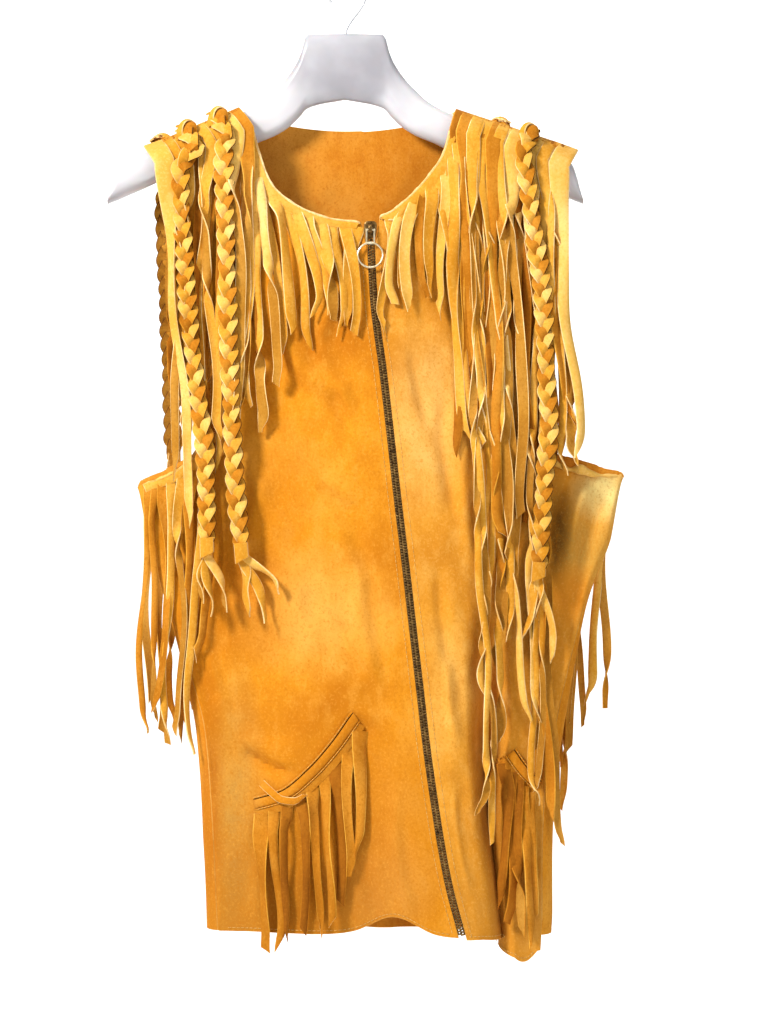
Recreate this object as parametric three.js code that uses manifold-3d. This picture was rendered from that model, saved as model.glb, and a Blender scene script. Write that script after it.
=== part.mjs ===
// Fringed suede vest with a front zip, hanging on a moulded contour hanger.
// Millimetres, +Z up, the front of the vest towards -Y, origin at the top inside the hook's bow.
// "drop" is the distance below the origin, so z = -drop. "right" and "left" are the wearer's.

import * as THREE from "three";
import { mergeVertices } from "three/addons/utils/BufferGeometryUtils.js";
import Module from "manifold-3d";

const wasm = await Module();
wasm.setup();

// Driving sizes
const SUEDE = 1.8;
const SEAM_GAP = 0.3;
const SHOULDER_GAP = 0.5;
const SIDE_GAP = 0.9;
const LIE_GAP = 0.4;
const STRIP = 1.4;
const ROLL_DEPTH = 20;
const ROLL_DROP = 18;
const UNDERARM = 10;
const HEM = 18;
const SIDE_FLAT = 12;

const HOOK_WIRE = 1.35;
const HOOK_BOW = 18.2;
const HANGER_TOP = 62;
const HOOK_SEAT = 0.6;

const CHAIN_WIDTH = 6.8;
const CHAIN_DEPTH = 2.6;
const TAPE_WIDTH = 14;
const TAPE_THICK = 0.8;
const SLIDER_TOP = 239;
const SLIDER_FOOT = 254;

const colours = {
  suede: 0xc8863a,
  fringe: 0xd9a04c,
  metal: 0x5f4a32,
  ring: 0xb9a67c,
  tape: 0x6b5233,
  hanger: 0xb4b3bd,
  steel: 0xc4c6ca,
};

const group = new THREE.Group();
group.name = "fringe_vest";

// Small mathematics

const mix = (a, b, t) => a + (b - a) * t;
const clamp = (v, low, high) => Math.min(high, Math.max(low, v));
const smooth = (t) => clamp(t, 0, 1) ** 2 * (3 - 2 * clamp(t, 0, 1));
const radians = (degrees) => (degrees * Math.PI) / 180;
const point = (x, y, drop) => new THREE.Vector3(x, y, -drop);

// A smooth curve through the keys that never overshoots them
function curve(keys, values) {
  const last = keys.length - 1;
  const step = keys.slice(1).map((key, i) => key - keys[i]);
  const slope = step.map((width, i) => (values[i + 1] - values[i]) / width);
  const tangent = keys.map((_, i) => {
    if (i === 0) return slope[0];
    if (i === last) return slope[last - 1];
    if (slope[i - 1] * slope[i] <= 0) return 0;
    const before = 2 * step[i] + step[i - 1];
    const after = step[i] + 2 * step[i - 1];
    return (before + after) / (before / slope[i - 1] + after / slope[i]);
  });
  return (key) => {
    const at = clamp(key, keys[0], keys[last]);
    let i = 0;
    while (i < last - 1 && at > keys[i + 1]) i += 1;
    const s = (at - keys[i]) / step[i];
    const rise = s * s * (3 - 2 * s);
    const lead = s * (1 - s) * (1 - s) * step[i] * tangent[i];
    const trail = s * s * (1 - s) * step[i] * tangent[i + 1];
    return mix(values[i], values[i + 1], rise) + lead - trail;
  };
}

// A table with named columns, each read as a smooth curve down its first column
function table(names, rows) {
  const keys = rows.map((row) => row[0]);
  const columns = names.split(" ").map((name, i) => [name, curve(keys, rows.map((row) => row[i + 1]))]);
  return Object.fromEntries(columns);
}

// Solids

function geometryOf(vertices, faces) {
  const geometry = new THREE.BufferGeometry();
  geometry.setAttribute("position", new THREE.Float32BufferAttribute(vertices.flatMap((v) => v.toArray()), 3));
  geometry.setIndex(faces.flat());
  return geometry;
}

function manifoldOf(geometry) {
  const bare = geometry.clone();
  bare.deleteAttribute("normal");
  bare.deleteAttribute("uv");
  const merged = mergeVertices(bare, 1e-4);
  const vertProperties = new Float32Array(merged.attributes.position.array);
  const triVerts = new Uint32Array(merged.index.array);
  return new wasm.Manifold(new wasm.Mesh({ numProp: 3, vertProperties, triVerts }));
}

function geometryFrom(solid) {
  const mesh = solid.getMesh();
  const geometry = new THREE.BufferGeometry();
  geometry.setAttribute("position", new THREE.BufferAttribute(mesh.vertProperties, 3));
  geometry.setIndex(Array.from(mesh.triVerts));
  return geometry;
}

function fuse(geometries) {
  return geometryFrom(geometries.map(manifoldOf).reduce((whole, piece) => whole.add(piece)));
}

// Faces turned to point outward, whichever way round the sections ran
function facingOut(vertices, faces) {
  const volume = faces.reduce((sum, [a, b, c]) => {
    return sum + vertices[a].dot(vertices[b].clone().cross(vertices[c]));
  }, 0);
  return volume < 0 ? faces.map(([a, b, c]) => [a, c, b]) : faces;
}

function addPiece(name, geometry, color, roughness = 0.95, metalness = 0) {
  const bare = geometry.clone();
  bare.computeVertexNormals();
  const mesh = new THREE.Mesh(bare, new THREE.MeshStandardMaterial({ color, roughness, metalness }));
  mesh.name = name;
  group.add(mesh);
  return mesh;
}

// Sections of equal point counts joined into a closed bar
function loft(sections) {
  const size = sections[0].length;
  const vertices = sections.flat();
  const faces = [];
  const last = (sections.length - 1) * size;
  for (let row = 0; row < sections.length - 1; row += 1) {
    for (let i = 0; i < size; i += 1) {
      const a = row * size + i;
      const b = row * size + ((i + 1) % size);
      faces.push([a, b, b + size], [a, b + size, a + size]);
    }
  }
  for (let i = 1; i < size - 1; i += 1) {
    faces.push([0, i + 1, i], [last, last + i, last + i + 1]);
  }
  return geometryOf(vertices, facingOut(vertices, faces));
}

// Unit normals of a grid of points. Rows run down the cloth and columns along it.
function normalsOf(grid, turned) {
  const rows = grid.length;
  const columns = grid[0].length;
  return grid.map((row, r) => row.map((_, c) => {
    const along = grid[r][Math.min(c + 1, columns - 1)].clone().sub(grid[r][Math.max(c - 1, 0)]);
    const down = grid[Math.min(r + 1, rows - 1)][c].clone().sub(grid[Math.max(r - 1, 0)][c]);
    return along.cross(down).multiplyScalar(turned ? -1 : 1).normalize();
  }));
}

// A cloth wall: the grid is its outer face and the inner face lies a thickness behind it.
function wall(grid, thickness, turned, lift = 0) {
  const rows = grid.length;
  const columns = grid[0].length;
  const normals = normalsOf(grid, turned);
  const face = (depth) => grid.map((row, r) => row.map((p, c) => p.clone().addScaledVector(normals[r][c], depth)));
  const vertices = [...face(lift).flat(), ...face(lift - thickness).flat()];
  const under = rows * columns;
  const at = (r, c) => r * columns + c;
  const faces = [];
  const quad = (a, b, c, d) => faces.push([a, b, c], [a, c, d]);
  for (let r = 0; r < rows - 1; r += 1) {
    for (let c = 0; c < columns - 1; c += 1) {
      quad(at(r, c), at(r, c + 1), at(r + 1, c + 1), at(r + 1, c));
      quad(under + at(r, c), under + at(r + 1, c), under + at(r + 1, c + 1), under + at(r, c + 1));
    }
  }
  for (let c = 0; c < columns - 1; c += 1) {
    quad(at(0, c + 1), at(0, c), under + at(0, c), under + at(0, c + 1));
    quad(at(rows - 1, c), at(rows - 1, c + 1), under + at(rows - 1, c + 1), under + at(rows - 1, c));
  }
  for (let r = 0; r < rows - 1; r += 1) {
    quad(at(r, 0), at(r + 1, 0), under + at(r + 1, 0), under + at(r, 0));
    quad(at(r + 1, columns - 1), at(r, columns - 1), under + at(r, columns - 1), under + at(r + 1, columns - 1));
  }
  return geometryOf(vertices, facingOut(vertices, faces));
}

// Hanger: a moulded contour body, one loft from tip to tip, and a wire hook.

const hangerProfile = table("top foot half", [
  [0, 62, 123.6, 8],
  [36, 63, 132, 8.5],
  [42, 82, 139, 9],
  [52, 99.7, 148.5, 10],
  [65, 114.4, 156.8, 11],
  [80, 127.4, 163, 12],
  [100, 137.2, 172.4, 13],
  [150, 157.8, 189, 14],
  [190, 174.2, 207.4, 15],
  [203, 177.6, 213, 15.5],
  [211, 183, 216.6, 15],
  [221, 216, 220.4, 9],
]);
const HANGER_STATIONS = [0, 36, 42, 52, 65, 80, 100, 125, 150, 190, 203, 211, 221];
const HANGER_ROUND = 2.15;

function hangerSection(x) {
  const top = hangerProfile.top(Math.abs(x));
  const foot = hangerProfile.foot(Math.abs(x));
  const half = hangerProfile.half(Math.abs(x));
  const bend = (v) => Math.sign(v) * Math.abs(v) ** (2 / HANGER_ROUND);
  return Array.from({ length: 12 }, (_, i) => {
    const turn = radians(15 + 30 * i);
    return point(x, half * bend(Math.cos(turn)), mix(foot, top, (1 + bend(Math.sin(turn))) / 2));
  });
}

function hangerBody() {
  const outer = HANGER_STATIONS.slice(1);
  const stations = [...outer.map((x) => -x).reverse(), ...HANGER_STATIONS];
  return loft(stations.map(hangerSection));
}

// The hook: a straight stem, a sweep to the side and a bow over the top
class HookLine extends THREE.Curve {
  getPoint(t, target = new THREE.Vector3()) {
    const radius = HOOK_BOW + HOOK_WIRE;
    const stem = 24;
    const arc = radians(250) * radius;
    const reach = (stem + arc) * t;
    if (reach < stem) {
      const s = reach / stem;
      return target.set(radius * smooth(s) * 0.94, 0, mix(-HANGER_TOP - HOOK_SEAT, -27.5, s));
    }
    const turn = radians(-20) + (reach - stem) / radius;
    return target.set(radius * Math.cos(turn), 0, -HOOK_BOW + radius * Math.sin(turn));
  }
}

function hangerHook() {
  const line = new HookLine();
  const steps = 24;
  const ring = (t) => {
    const centre = line.getPoint(t);
    const tangent = line.getPoint(Math.min(1, t + 0.01)).sub(line.getPoint(Math.max(0, t - 0.01))).normalize();
    const side = new THREE.Vector3(0, 1, 0);
    const out = side.clone().cross(tangent);
    return Array.from({ length: 8 }, (_, i) => {
      const turn = radians(45 * i);
      const reach = centre.clone().addScaledVector(side, HOOK_WIRE * Math.cos(turn));
      return reach.addScaledVector(out, -HOOK_WIRE * Math.sin(turn));
    });
  };
  return loft(Array.from({ length: steps + 1 }, (_, i) => ring(i / steps)));
}

// The line of the zip, and how far each front stands back from it

const zipX = curve(
  [240, 312, 377, 432, 500, 551, 607, 671, 726, 772, 818, 855, 883, 900],
  [23, 26.7, 35, 41.4, 49, 55.2, 61.6, 69, 75.4, 81.9, 89.2, 96.6, 104, 108.4],
);
const zipGap = (drop) => 3.8 + 5 * Math.exp(-(((drop - 238) / 18) ** 2));

// Rows of the fronts, from the shoulder seam (0) over the roll (1) to the underarm (10) and the hem (18).
// Inner is the neck and zip edge and outer the armhole and side.
const rightRows = table("innerX innerDrop innerY outerX outerDrop", [
  [0, -100, 133.2, 0, -180, 166],
  [1, -86, 152, -20, -168, 184],
  [2, -78, 178, -22, -155.5, 224.8],
  [3, -68, 203, -24, -142.6, 266],
  [4, -45, 223.5, -26, -135, 312],
  [5, -16, 235.2, -26, -130.6, 353.6],
  [6, 14.5, 241.5, -26, -128.8, 390.4],
  [7, 22, 290, -30, -130.6, 427],
  [8, 26, 340, -34, -140.8, 455],
  [9, 33, 390, -37, -165.6, 473],
  [10, 39, 440, -40, -194, 484],
  [11, 45, 500, -42, -179.4, 533],
  [12, 53, 570, -44, -159, 592.8],
  [13, 61, 640, -46, -140, 652.6],
  [14, 69, 710, -47.5, -126, 712.4],
  [15, 78, 775, -48, -121, 772],
  [16, 88, 835, -48, -118, 827],
  [17, 99, 880, -47, -116, 873.4],
  [18, 104, 898, -46, -115, 893.7],
]);
const leftRows = table("innerX innerDrop innerY outerX outerDrop", [
  [0, 102, 134, 0, 210, 170],
  [1, 97, 152, -20, 200, 188],
  [2, 90, 176, -22, 190, 225],
  [3, 78, 194.5, -24, 182, 266],
  [4, 62, 213, -26, 177, 312],
  [5, 45, 227.5, -26, 175, 354],
  [6, 31.7, 238, -26, 176, 390],
  [7, 30, 290, -30, 180, 428],
  [8, 34, 340, -34, 192, 459],
  [9, 41, 390, -37, 222, 471],
  [10, 47, 440, -40, 260, 474],
  [11, 53, 500, -42, 242, 533],
  [12, 61, 570, -44, 217, 592],
  [13, 69, 640, -46, 202, 652],
  [14, 77, 710, -47.5, 190, 712],
  [15, 86, 775, -48, 181, 772],
  [16, 96, 835, -48, 179, 830],
  [17, 106, 880, -47, 179, 877],
  [18, 112, 900, -46, 178, 898],
]);

// The turn round each side: half is its half depth, bulge how far it stands out, and seam the angle at which
// the side seam lies on it, from the front (0) round to the back (180).
const sideTurn = table("half bulge seam", [
  [0, 20, 0, 90],
  [6, 22, 0, 90],
  [7, 20, 0, 90],
  [8, 14, 0, 90],
  [9, 8, 0, 90],
  [10, 2.3, 2.3, 90],
  [11, 6, 5, 70],
  [12, 12, 8, 45],
  [13, 16, 11, 25],
  [14, 20, 13, 15],
  [18, 22, 14, 12],
]);

const isOpen = (row) => row < UNDERARM - 0.5;

// A point on the turn of a side. share runs over one panel's part of it, from the body to the seam or armhole.
function sidePoint(row, share, sign, xEdge, back) {
  const { half, bulge, seam } = Object.fromEntries(Object.entries(sideTurn).map(([k, f]) => [k, f(row)]));
  if (isOpen(row)) return { x: xEdge - sign * SIDE_FLAT * (1 - share), y: back ? half : -half };
  const centre = xEdge - sign * (row === UNDERARM ? bulge : 0);
  const gap = SIDE_GAP / 2 / Math.hypot(half * Math.sin(radians(seam)), bulge * Math.cos(radians(seam)));
  const stop = radians(seam) + (back ? gap : -gap);
  const turn = back ? mix(Math.PI, stop, share) : mix(0, stop, share);
  return { x: centre + sign * bulge * Math.sin(turn), y: -half * Math.cos(turn) };
}

// Large forms of the cloth, as shifts of a front's point

const foldDepth = curve([590, 700, 900], [0, 40, 48]);
const FOLD_CENTRE = 0.43;
const FOLD_HALF = 0.17;
const FOLD_PINCH = 3;

function leftFold(u, drop) {
  const reach = (u - FOLD_CENTRE) / FOLD_HALF;
  if (Math.abs(reach) >= 1) return { x: 0, y: 0 };
  const depth = foldDepth(drop);
  return {
    x: -FOLD_PINCH * (depth / 48) * Math.sin(Math.PI * reach),
    y: depth * Math.cos((Math.PI / 2) * reach) ** 2,
  };
}

const rightWave = (x, drop) => 5 * smooth((drop - 480) / 400) * Math.cos((x - 20) / 21);
const hemCurve = {
  right: (x) => -18 * Math.exp(-(((x - 45) / 28) ** 2)),
  left: (x) => 24 * Math.exp(-(((x - 165) / 18) ** 2)),
};

const BODY_SHARE = 0.88;

// A point on a front. u runs from the neck or zip edge (0) to the armhole or side seam (1).
function frontPoint(side, u, row) {
  const rows = side === "right" ? rightRows : leftRows;
  const sign = side === "right" ? -1 : 1;
  const roll = row < 1 ? radians(90) * row : radians(90);
  const at = Math.max(row, 1);
  const read = (name) => (row < 1 ? mix(rows[name](0), rows[name](1), 1 - Math.cos(roll)) : rows[name](row));
  const innerDrop = read("innerDrop");
  const innerX = row >= 6 ? zipX(innerDrop) + sign * zipGap(innerDrop) : read("innerX");
  const edge = sidePoint(at, clamp((u - BODY_SHARE) / (1 - BODY_SHARE), 0, 1), sign, read("outerX"), false);
  const body = clamp(u / BODY_SHARE, 0, 1);
  const start = sidePoint(at, 0, sign, read("outerX"), false);
  const drop = mix(innerDrop, read("outerDrop"), u);
  const hem = smooth((row - 15) / 3) * hemCurve[side](mix(innerX, start.x, body));
  let x = u < BODY_SHARE ? mix(innerX, start.x, body) : edge.x;
  let y = u < BODY_SHARE ? mix(rows.innerY(at), start.y, smooth(body)) : edge.y;
  if (row < 1) y = mix(-SHOULDER_GAP / 2, y, Math.sin(roll));
  if (side === "left" && row > 10) {
    const fold = leftFold(u, drop);
    x += fold.x;
    y += fold.y;
  }
  if (side === "right" && row > 9) {
    y += rightWave(x, drop) * smooth(4 * body * (1 - body)) * (u < BODY_SHARE ? 1 : 0);
  }
  return point(x, y, drop + hem);
}

const ROLL_ROWS = [0, 0.08, 0.36, 0.7];
const SLIDER_ROW = 6.48;
const BODY_ROWS = Array.from({ length: HEM }, (_, i) => i + 1);
const panelRows = [...ROLL_ROWS, ...BODY_ROWS, SLIDER_ROW].sort((a, b) => a - b);
const FRONT_TURN = [0.45, 0.9, 1];
const BACK_TURN = [0.3, 0.6, 0.85, 0.97, 1];

function frontGrid(side, bodyCells) {
  const body = Array.from({ length: bodyCells + 1 }, (_, i) => (BODY_SHARE * i) / bodyCells);
  const columns = [...body, ...FRONT_TURN.map((s) => mix(BODY_SHARE, 1, s))];
  return panelRows.map((row) => columns.map((u) => frontPoint(side, u, row)));
}

// The back, one panel. v runs from the right side (0) to the left side (1) between the turns of the sides.
const NECK_RIGHT = 0.186;
const NECK_LEFT = 0.738;
const NECK_DIP = 18;
const NECK_CORNER = 0.012;
const backDepth = curve([1, 6, 10, 18], [20, 22, 24, 24]);
const backWave = (v, row) => 5 * smooth((row - 9) / 8) * Math.sin(Math.PI * v) * Math.cos(v * 30 + 0.6);

// The back of the neck passes over the hanger first and then dips behind it
function neckShift(v) {
  const along = clamp((v - NECK_RIGHT) / (NECK_LEFT - NECK_RIGHT), 0, 1);
  const arch = Math.max(0, Math.sin(Math.PI * along));
  return { lift: Math.min(1, 6 * arch) ** 0.7, dip: NECK_DIP * arch ** 0.8 };
}

const seamShare = (v) => (v < 0.5 ? 1 - v / NECK_RIGHT : (v - NECK_LEFT) / (1 - NECK_LEFT));

function backPoint(v, row, share = null) {
  const at = Math.max(row, 1);
  const roll = row < 1 ? radians(90) * row : radians(90);
  const read = (rows, name) => (row < 1 ? mix(rows[name](0), rows[name](1), 1 - Math.cos(roll)) : rows[name](row));
  const rightX = read(rightRows, "outerX");
  const leftX = read(leftRows, "outerX");
  const right = sidePoint(at, 0, -1, rightX, true);
  const left = sidePoint(at, 0, 1, leftX, true);
  const { lift, dip } = neckShift(v);
  const shoulder = v < 0.5 ? rightRows : leftRows;
  const sign = v < 0.5 ? -1 : 1;
  const edge = sidePoint(at, share ?? 0, sign, read(shoulder, "outerX"), true);
  const x = share === null ? mix(right.x, left.x, v) : edge.x;
  const innerX = read(shoulder, "innerX");
  const passedSeam = clamp((x - innerX) / (read(shoulder, "outerX") - innerX), 0, 1);
  const seamDrop = mix(shoulder.innerDrop(0), shoulder.outerDrop(0), row <= 1 ? passedSeam : clamp(seamShare(v), 0, 1));
  const topDrop = seamDrop + dip;
  const footDrop = topDrop + ROLL_DROP;
  const underDrop = mix(rightRows.outerDrop(UNDERARM), leftRows.outerDrop(UNDERARM), v);
  const passed = (rows) => (rows.outerDrop(at) - rows.outerDrop(1)) / (rows.outerDrop(UNDERARM) - rows.outerDrop(1));
  let drop = mix(footDrop, underDrop, mix(passed(rightRows), passed(leftRows), v));
  if (row > UNDERARM) drop = mix(rightRows.outerDrop(row), leftRows.outerDrop(row), v);
  if (row < 1) drop = mix(topDrop, footDrop, mix(1 - Math.cos(roll), row, lift));
  const edgeDepth = mix(right.y, left.y, v);
  const rise = smooth(Math.min(v, 1 - v) / 0.3);
  let y = mix(edgeDepth, backDepth(at), rise) + backWave(v, row);
  if (row < 1) y = mix(mix(SHOULDER_GAP / 2, ROLL_DEPTH, lift), y, Math.sin(roll));
  if (share !== null) y = row < 1 ? mix(SHOULDER_GAP / 2, edge.y, Math.sin(roll)) : edge.y;
  return point(x, y, drop);
}

function spread(from, to, cells) {
  return Array.from({ length: cells }, (_, i) => mix(from, to, (i + 1) / cells));
}

function backGrid() {
  const neck = spread(NECK_RIGHT, NECK_LEFT, 8).slice(0, -1);
  const corner = [NECK_RIGHT + NECK_CORNER, ...neck, NECK_LEFT - NECK_CORNER];
  const body = [0, ...spread(0, NECK_RIGHT, 3), ...corner, NECK_LEFT, ...spread(NECK_LEFT, 1, 3)];
  return panelRows.map((row) => [
    ...[...BACK_TURN].reverse().map((share) => backPoint(0, row, share)),
    ...body.map((v) => backPoint(v, row)),
    ...BACK_TURN.map((share) => backPoint(1, row, share)),
  ]);
}

addPiece("hanger_body", hangerBody(), colours.hanger, 0.35);
addPiece("hanger_hook", hangerHook(), colours.steel, 0.3, 0.9);
const grids = { right: frontGrid("right", 10), left: frontGrid("left", 16), back: backGrid() };
addPiece("front_right", wall(grids.right, SUEDE, false), colours.suede);
addPiece("front_left", wall(grids.left, SUEDE, true), colours.suede);
addPiece("back", wall(grids.back, SUEDE, false), colours.suede);

// Zip: two tapes behind the edges of the fronts, the closed chain between them, and the slider at the neck.

const zipRows = [SLIDER_ROW, ...BODY_ROWS.slice(6)];
const zipDrops = zipRows.map((row) => rightRows.innerDrop(row));
const zipY = curve([SLIDER_TOP, ...zipDrops], [-26, ...zipRows.map((row) => rightRows.innerY(row))]);
const TAPE_GAP = 0.35;

function zipTape(side) {
  const sign = side === "right" ? -1 : 1;
  const rows = side === "right" ? rightRows : leftRows;
  const grid = zipRows.map((row) => {
    const width = Math.abs(rows.outerX(row) - rows.innerX(row));
    return [0.001, TAPE_WIDTH / width].map((u) => frontPoint(side, u, row));
  });
  return wall(grid, TAPE_THICK, sign > 0, -(SUEDE + TAPE_GAP));
}

function boxAt(x, y, drop, width, depth, height) {
  return new THREE.BoxGeometry(width, depth, height).translate(x, y, -drop);
}

function zipChain() {
  const drops = [SLIDER_FOOT + SEAM_GAP, ...zipDrops.slice(0, -1), zipDrops.at(-1) - 2];
  return loft(drops.map((drop) => {
    const x = zipX(drop);
    const y = zipY(drop) + 0.9;
    const corners = [[-1, -1], [1, -1], [1, 1], [-1, 1]];
    return corners.map(([i, j]) => point(x + (i * CHAIN_WIDTH) / 2, y + (j * CHAIN_DEPTH) / 2, drop));
  }).reverse());
}

const slider = { x: zipX(246.5), y: zipY(246.5) + 0.9, drop: 246.5, depth: 7, width: 12 };
const bridge = { wide: 3.6, low: -4, high: 4.5, bar: 1.6, inside: 6.9, gapLow: -2.2, gapHigh: 2.7 };
const pull = { out: 5.2, up: -0.8, pin: 1.1, half: 4.5, tilt: 6, legIn: 2.6, legFoot: 13.4, ringDrop: 23.5 };
const ring = { radius: 11.5, wire: 1 };

function zipSlider() {
  const outline = [[SLIDER_TOP, 8], [SLIDER_TOP + 2, 11.6], [slider.drop, slider.width], [SLIDER_FOOT, 9.4]];
  const body = loft(outline.map(([drop, width]) => {
    const cut = 1.2;
    const half = width / 2;
    const deep = slider.depth / 2;
    const corners = [
      [-half, -deep + cut], [-half + cut, -deep], [half - cut, -deep], [half, -deep + cut],
      [half, deep - cut], [half - cut, deep], [-half + cut, deep], [-half, deep - cut],
    ];
    return corners.map(([x, y]) => point(slider.x + x, slider.y + y, drop));
  }).reverse());
  const front = slider.y - bridge.inside;
  const post = (low, high) => boxAt(
    slider.x, mix(front, slider.y, 0.5) - 0.4, slider.drop - (low + high) / 2, bridge.wide, bridge.inside + 0.8, high - low,
  );
  const bar = boxAt(
    slider.x, front - bridge.bar / 2, slider.drop - (bridge.low + bridge.high) / 2,
    bridge.wide, bridge.bar, bridge.high - bridge.low,
  );
  return fuse([body, post(bridge.low, bridge.gapLow), post(bridge.gapHigh, bridge.high), bar]);
}

function zipPull() {
  const pin = new THREE.CylinderGeometry(pull.pin, pull.pin, 2 * pull.half, 10).rotateZ(radians(90));
  const legWidth = pull.half - pull.legIn;
  const leg = (sign) => new THREE.BoxGeometry(legWidth, 1.6, pull.legFoot)
    .translate(sign * (pull.legIn + legWidth / 2), 0, -pull.legFoot / 2);
  const loop = new THREE.TorusGeometry(ring.radius, ring.wire, 6, 24).rotateX(radians(90)).translate(0, 0, -pull.ringDrop);
  const lug = new THREE.BoxGeometry(2 * pull.half, 1.6, 2).translate(0, 0, -pull.legFoot + 1);
  const whole = fuse([pin, leg(-1), leg(1), loop, lug]);
  return whole.rotateX(radians(-pull.tilt)).translate(slider.x, slider.y - pull.out, -slider.drop + pull.up);
}

addPiece("zip_tape_right", zipTape("right"), colours.tape);
addPiece("zip_tape_left", zipTape("left"), colours.tape);
addPiece("zip_chain", zipChain(), colours.metal, 0.4, 0.8);
addPiece("zip_slider", zipSlider(), colours.metal, 0.4, 0.8);
addPiece("zip_pull", zipPull(), colours.ring, 0.35, 0.9);

// Fringe. A strip hangs from its root, a layer's height out from the cloth, and plumb past the cloth's edge.

const panels = {
  right: { at: (u, row) => frontPoint("right", u, row), sign: -1, grids: [grids.right, grids.left] },
  left: { at: (u, row) => frontPoint("left", u, row), sign: -1, grids: [grids.right, grids.left] },
  backRight: { at: (u, row) => backEdgePoint(0, u, row), sign: 1, grids: [grids.back] },
  backLeft: { at: (u, row) => backEdgePoint(1, u, row), sign: 1, grids: [grids.back] },
};
const BAND = { lie: 0.6, inner: 1.5, outer: 8 };
const ROOT_OUT = 0.9;
const LAYER = 2.2;

// The back seen as two halves, u from the middle of the neck (0) to the armhole (1)
function backEdgePoint(side, u, row) {
  const neck = side === 0 ? NECK_RIGHT : NECK_LEFT;
  if (u <= BODY_SHARE) return backPoint(mix(neck, side, u / BODY_SHARE), row);
  return backPoint(side, row, (u - BODY_SHARE) / (1 - BODY_SHARE));
}

// The farthest that the cloth stands out at a place seen from the front (sign -1) or the back (sign 1)
function coverOf(gridList, sign) {
  const triangles = [];
  for (const grid of gridList) {
    for (let r = 0; r < grid.length - 1; r += 1) {
      for (let c = 0; c < grid[0].length - 1; c += 1) {
        const [a, b, d, e] = [grid[r][c], grid[r][c + 1], grid[r + 1][c + 1], grid[r + 1][c]];
        triangles.push([a, b, d], [a, d, e]);
      }
    }
  }
  return (x, drop) => {
    let out = -Infinity;
    for (const [a, b, c] of triangles) {
      if (x < Math.min(a.x, b.x, c.x) || x > Math.max(a.x, b.x, c.x)) continue;
      const area = (b.x - a.x) * (c.z - a.z) - (c.x - a.x) * (b.z - a.z);
      if (Math.abs(area) < 1e-6) continue;
      const s = ((x - a.x) * (c.z - a.z) - (c.x - a.x) * (-drop - a.z)) / area;
      const t = ((b.x - a.x) * (-drop - a.z) - (x - a.x) * (b.z - a.z)) / area;
      if (s < 0 || t < 0 || s + t > 1) continue;
      out = Math.max(out, sign * (a.y + s * (b.y - a.y) + t * (c.y - a.y)));
    }
    return out;
  };
}
const covers = { front: coverOf(panels.right.grids, -1), back: coverOf(panels.backRight.grids, 1) };
const coverFor = (sign) => (sign < 0 ? covers.front : covers.back);

// A point in from the edge of a panel, seen flat from the front. The neck's edge is at u 0, the armhole's at 1.
function insetPoint(panel, u, row, inset) {
  const whole = Math.floor(row);
  const above = panel.at(u, whole);
  const below = panel.at(u, whole + 1);
  const edge = above.clone().lerp(below, row - whole);
  const along = below.sub(above);
  const inside = new THREE.Vector3(-along.z, 0, along.x).normalize();
  const body = new THREE.Vector3(edge.x * (u === 0 ? 0.6 : -0.4), 0, -60);
  if (inside.dot(body) < 0) inside.negate();
  return edge.addScaledVector(inside, inset);
}

// A ribbon of four-sided sections. Each stop has the middle of the side next to the cloth, the way out from the
// cloth, a width and a thickness.
function ribbon(stops) {
  return loft(stops.map((stop, i) => {
    const before = stops[Math.max(i - 1, 0)].p;
    const after = stops[Math.min(i + 1, stops.length - 1)].p;
    const across = after.clone().sub(before).cross(stop.out).normalize();
    const out = across.clone().cross(after.clone().sub(before)).normalize();
    if (out.dot(stop.out) < 0) out.negate();
    const corner = (side, lift) => stop.p.clone()
      .addScaledVector(across, (side * stop.width) / 2)
      .addScaledVector(out, lift * stop.thick);
    return [corner(-1, 0), corner(1, 0), corner(1, 1), corner(-1, 1)];
  }));
}

// The stops of a strip from a list of places down it. A place is x and drop; the cloth under it gives y.
function hang(places, sign, width, offset, startReach) {
  const cover = coverFor(sign);
  let reach = startReach;
  return places.map((place, i) => {
    const near = [place];
    if (i > 0) near.push(...[0.3, 0.6, 0.9].map((s) => mixPlace(places[i - 1], place, s)));
    if (i < places.length - 1) near.push(...[0.1, 0.4, 0.7].map((s) => mixPlace(place, places[i + 1], s)));
    for (const { x, drop } of near) {
      for (const side of [-0.5, 0, 0.5]) reach = Math.max(reach, cover(x + side * width, drop));
    }
    return { p: point(place.x, sign * (reach + offset(i)), place.drop), out: new THREE.Vector3(0, sign, 0) };
  });
}
const mixPlace = (a, b, s) => ({ x: mix(a.x, b.x, s), drop: mix(a.drop, b.drop, s) });

// Stops of a strip over the roll of a shoulder, at the rows of the panel
function overRoll(panel, u, offset) {
  return ROLL_ROWS.slice(1).map((row, i) => {
    const p = panel.at(u, row);
    const along = panel.at(u + 0.02, row).sub(panel.at(u - 0.02, row));
    const down = panel.at(u, row + 0.02).sub(panel.at(u, row - 0.02));
    const out = along.cross(down).normalize();
    if (out.z < 0) out.negate();
    return { p: p.addScaledVector(out, offset(i)), out };
  });
}

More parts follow.
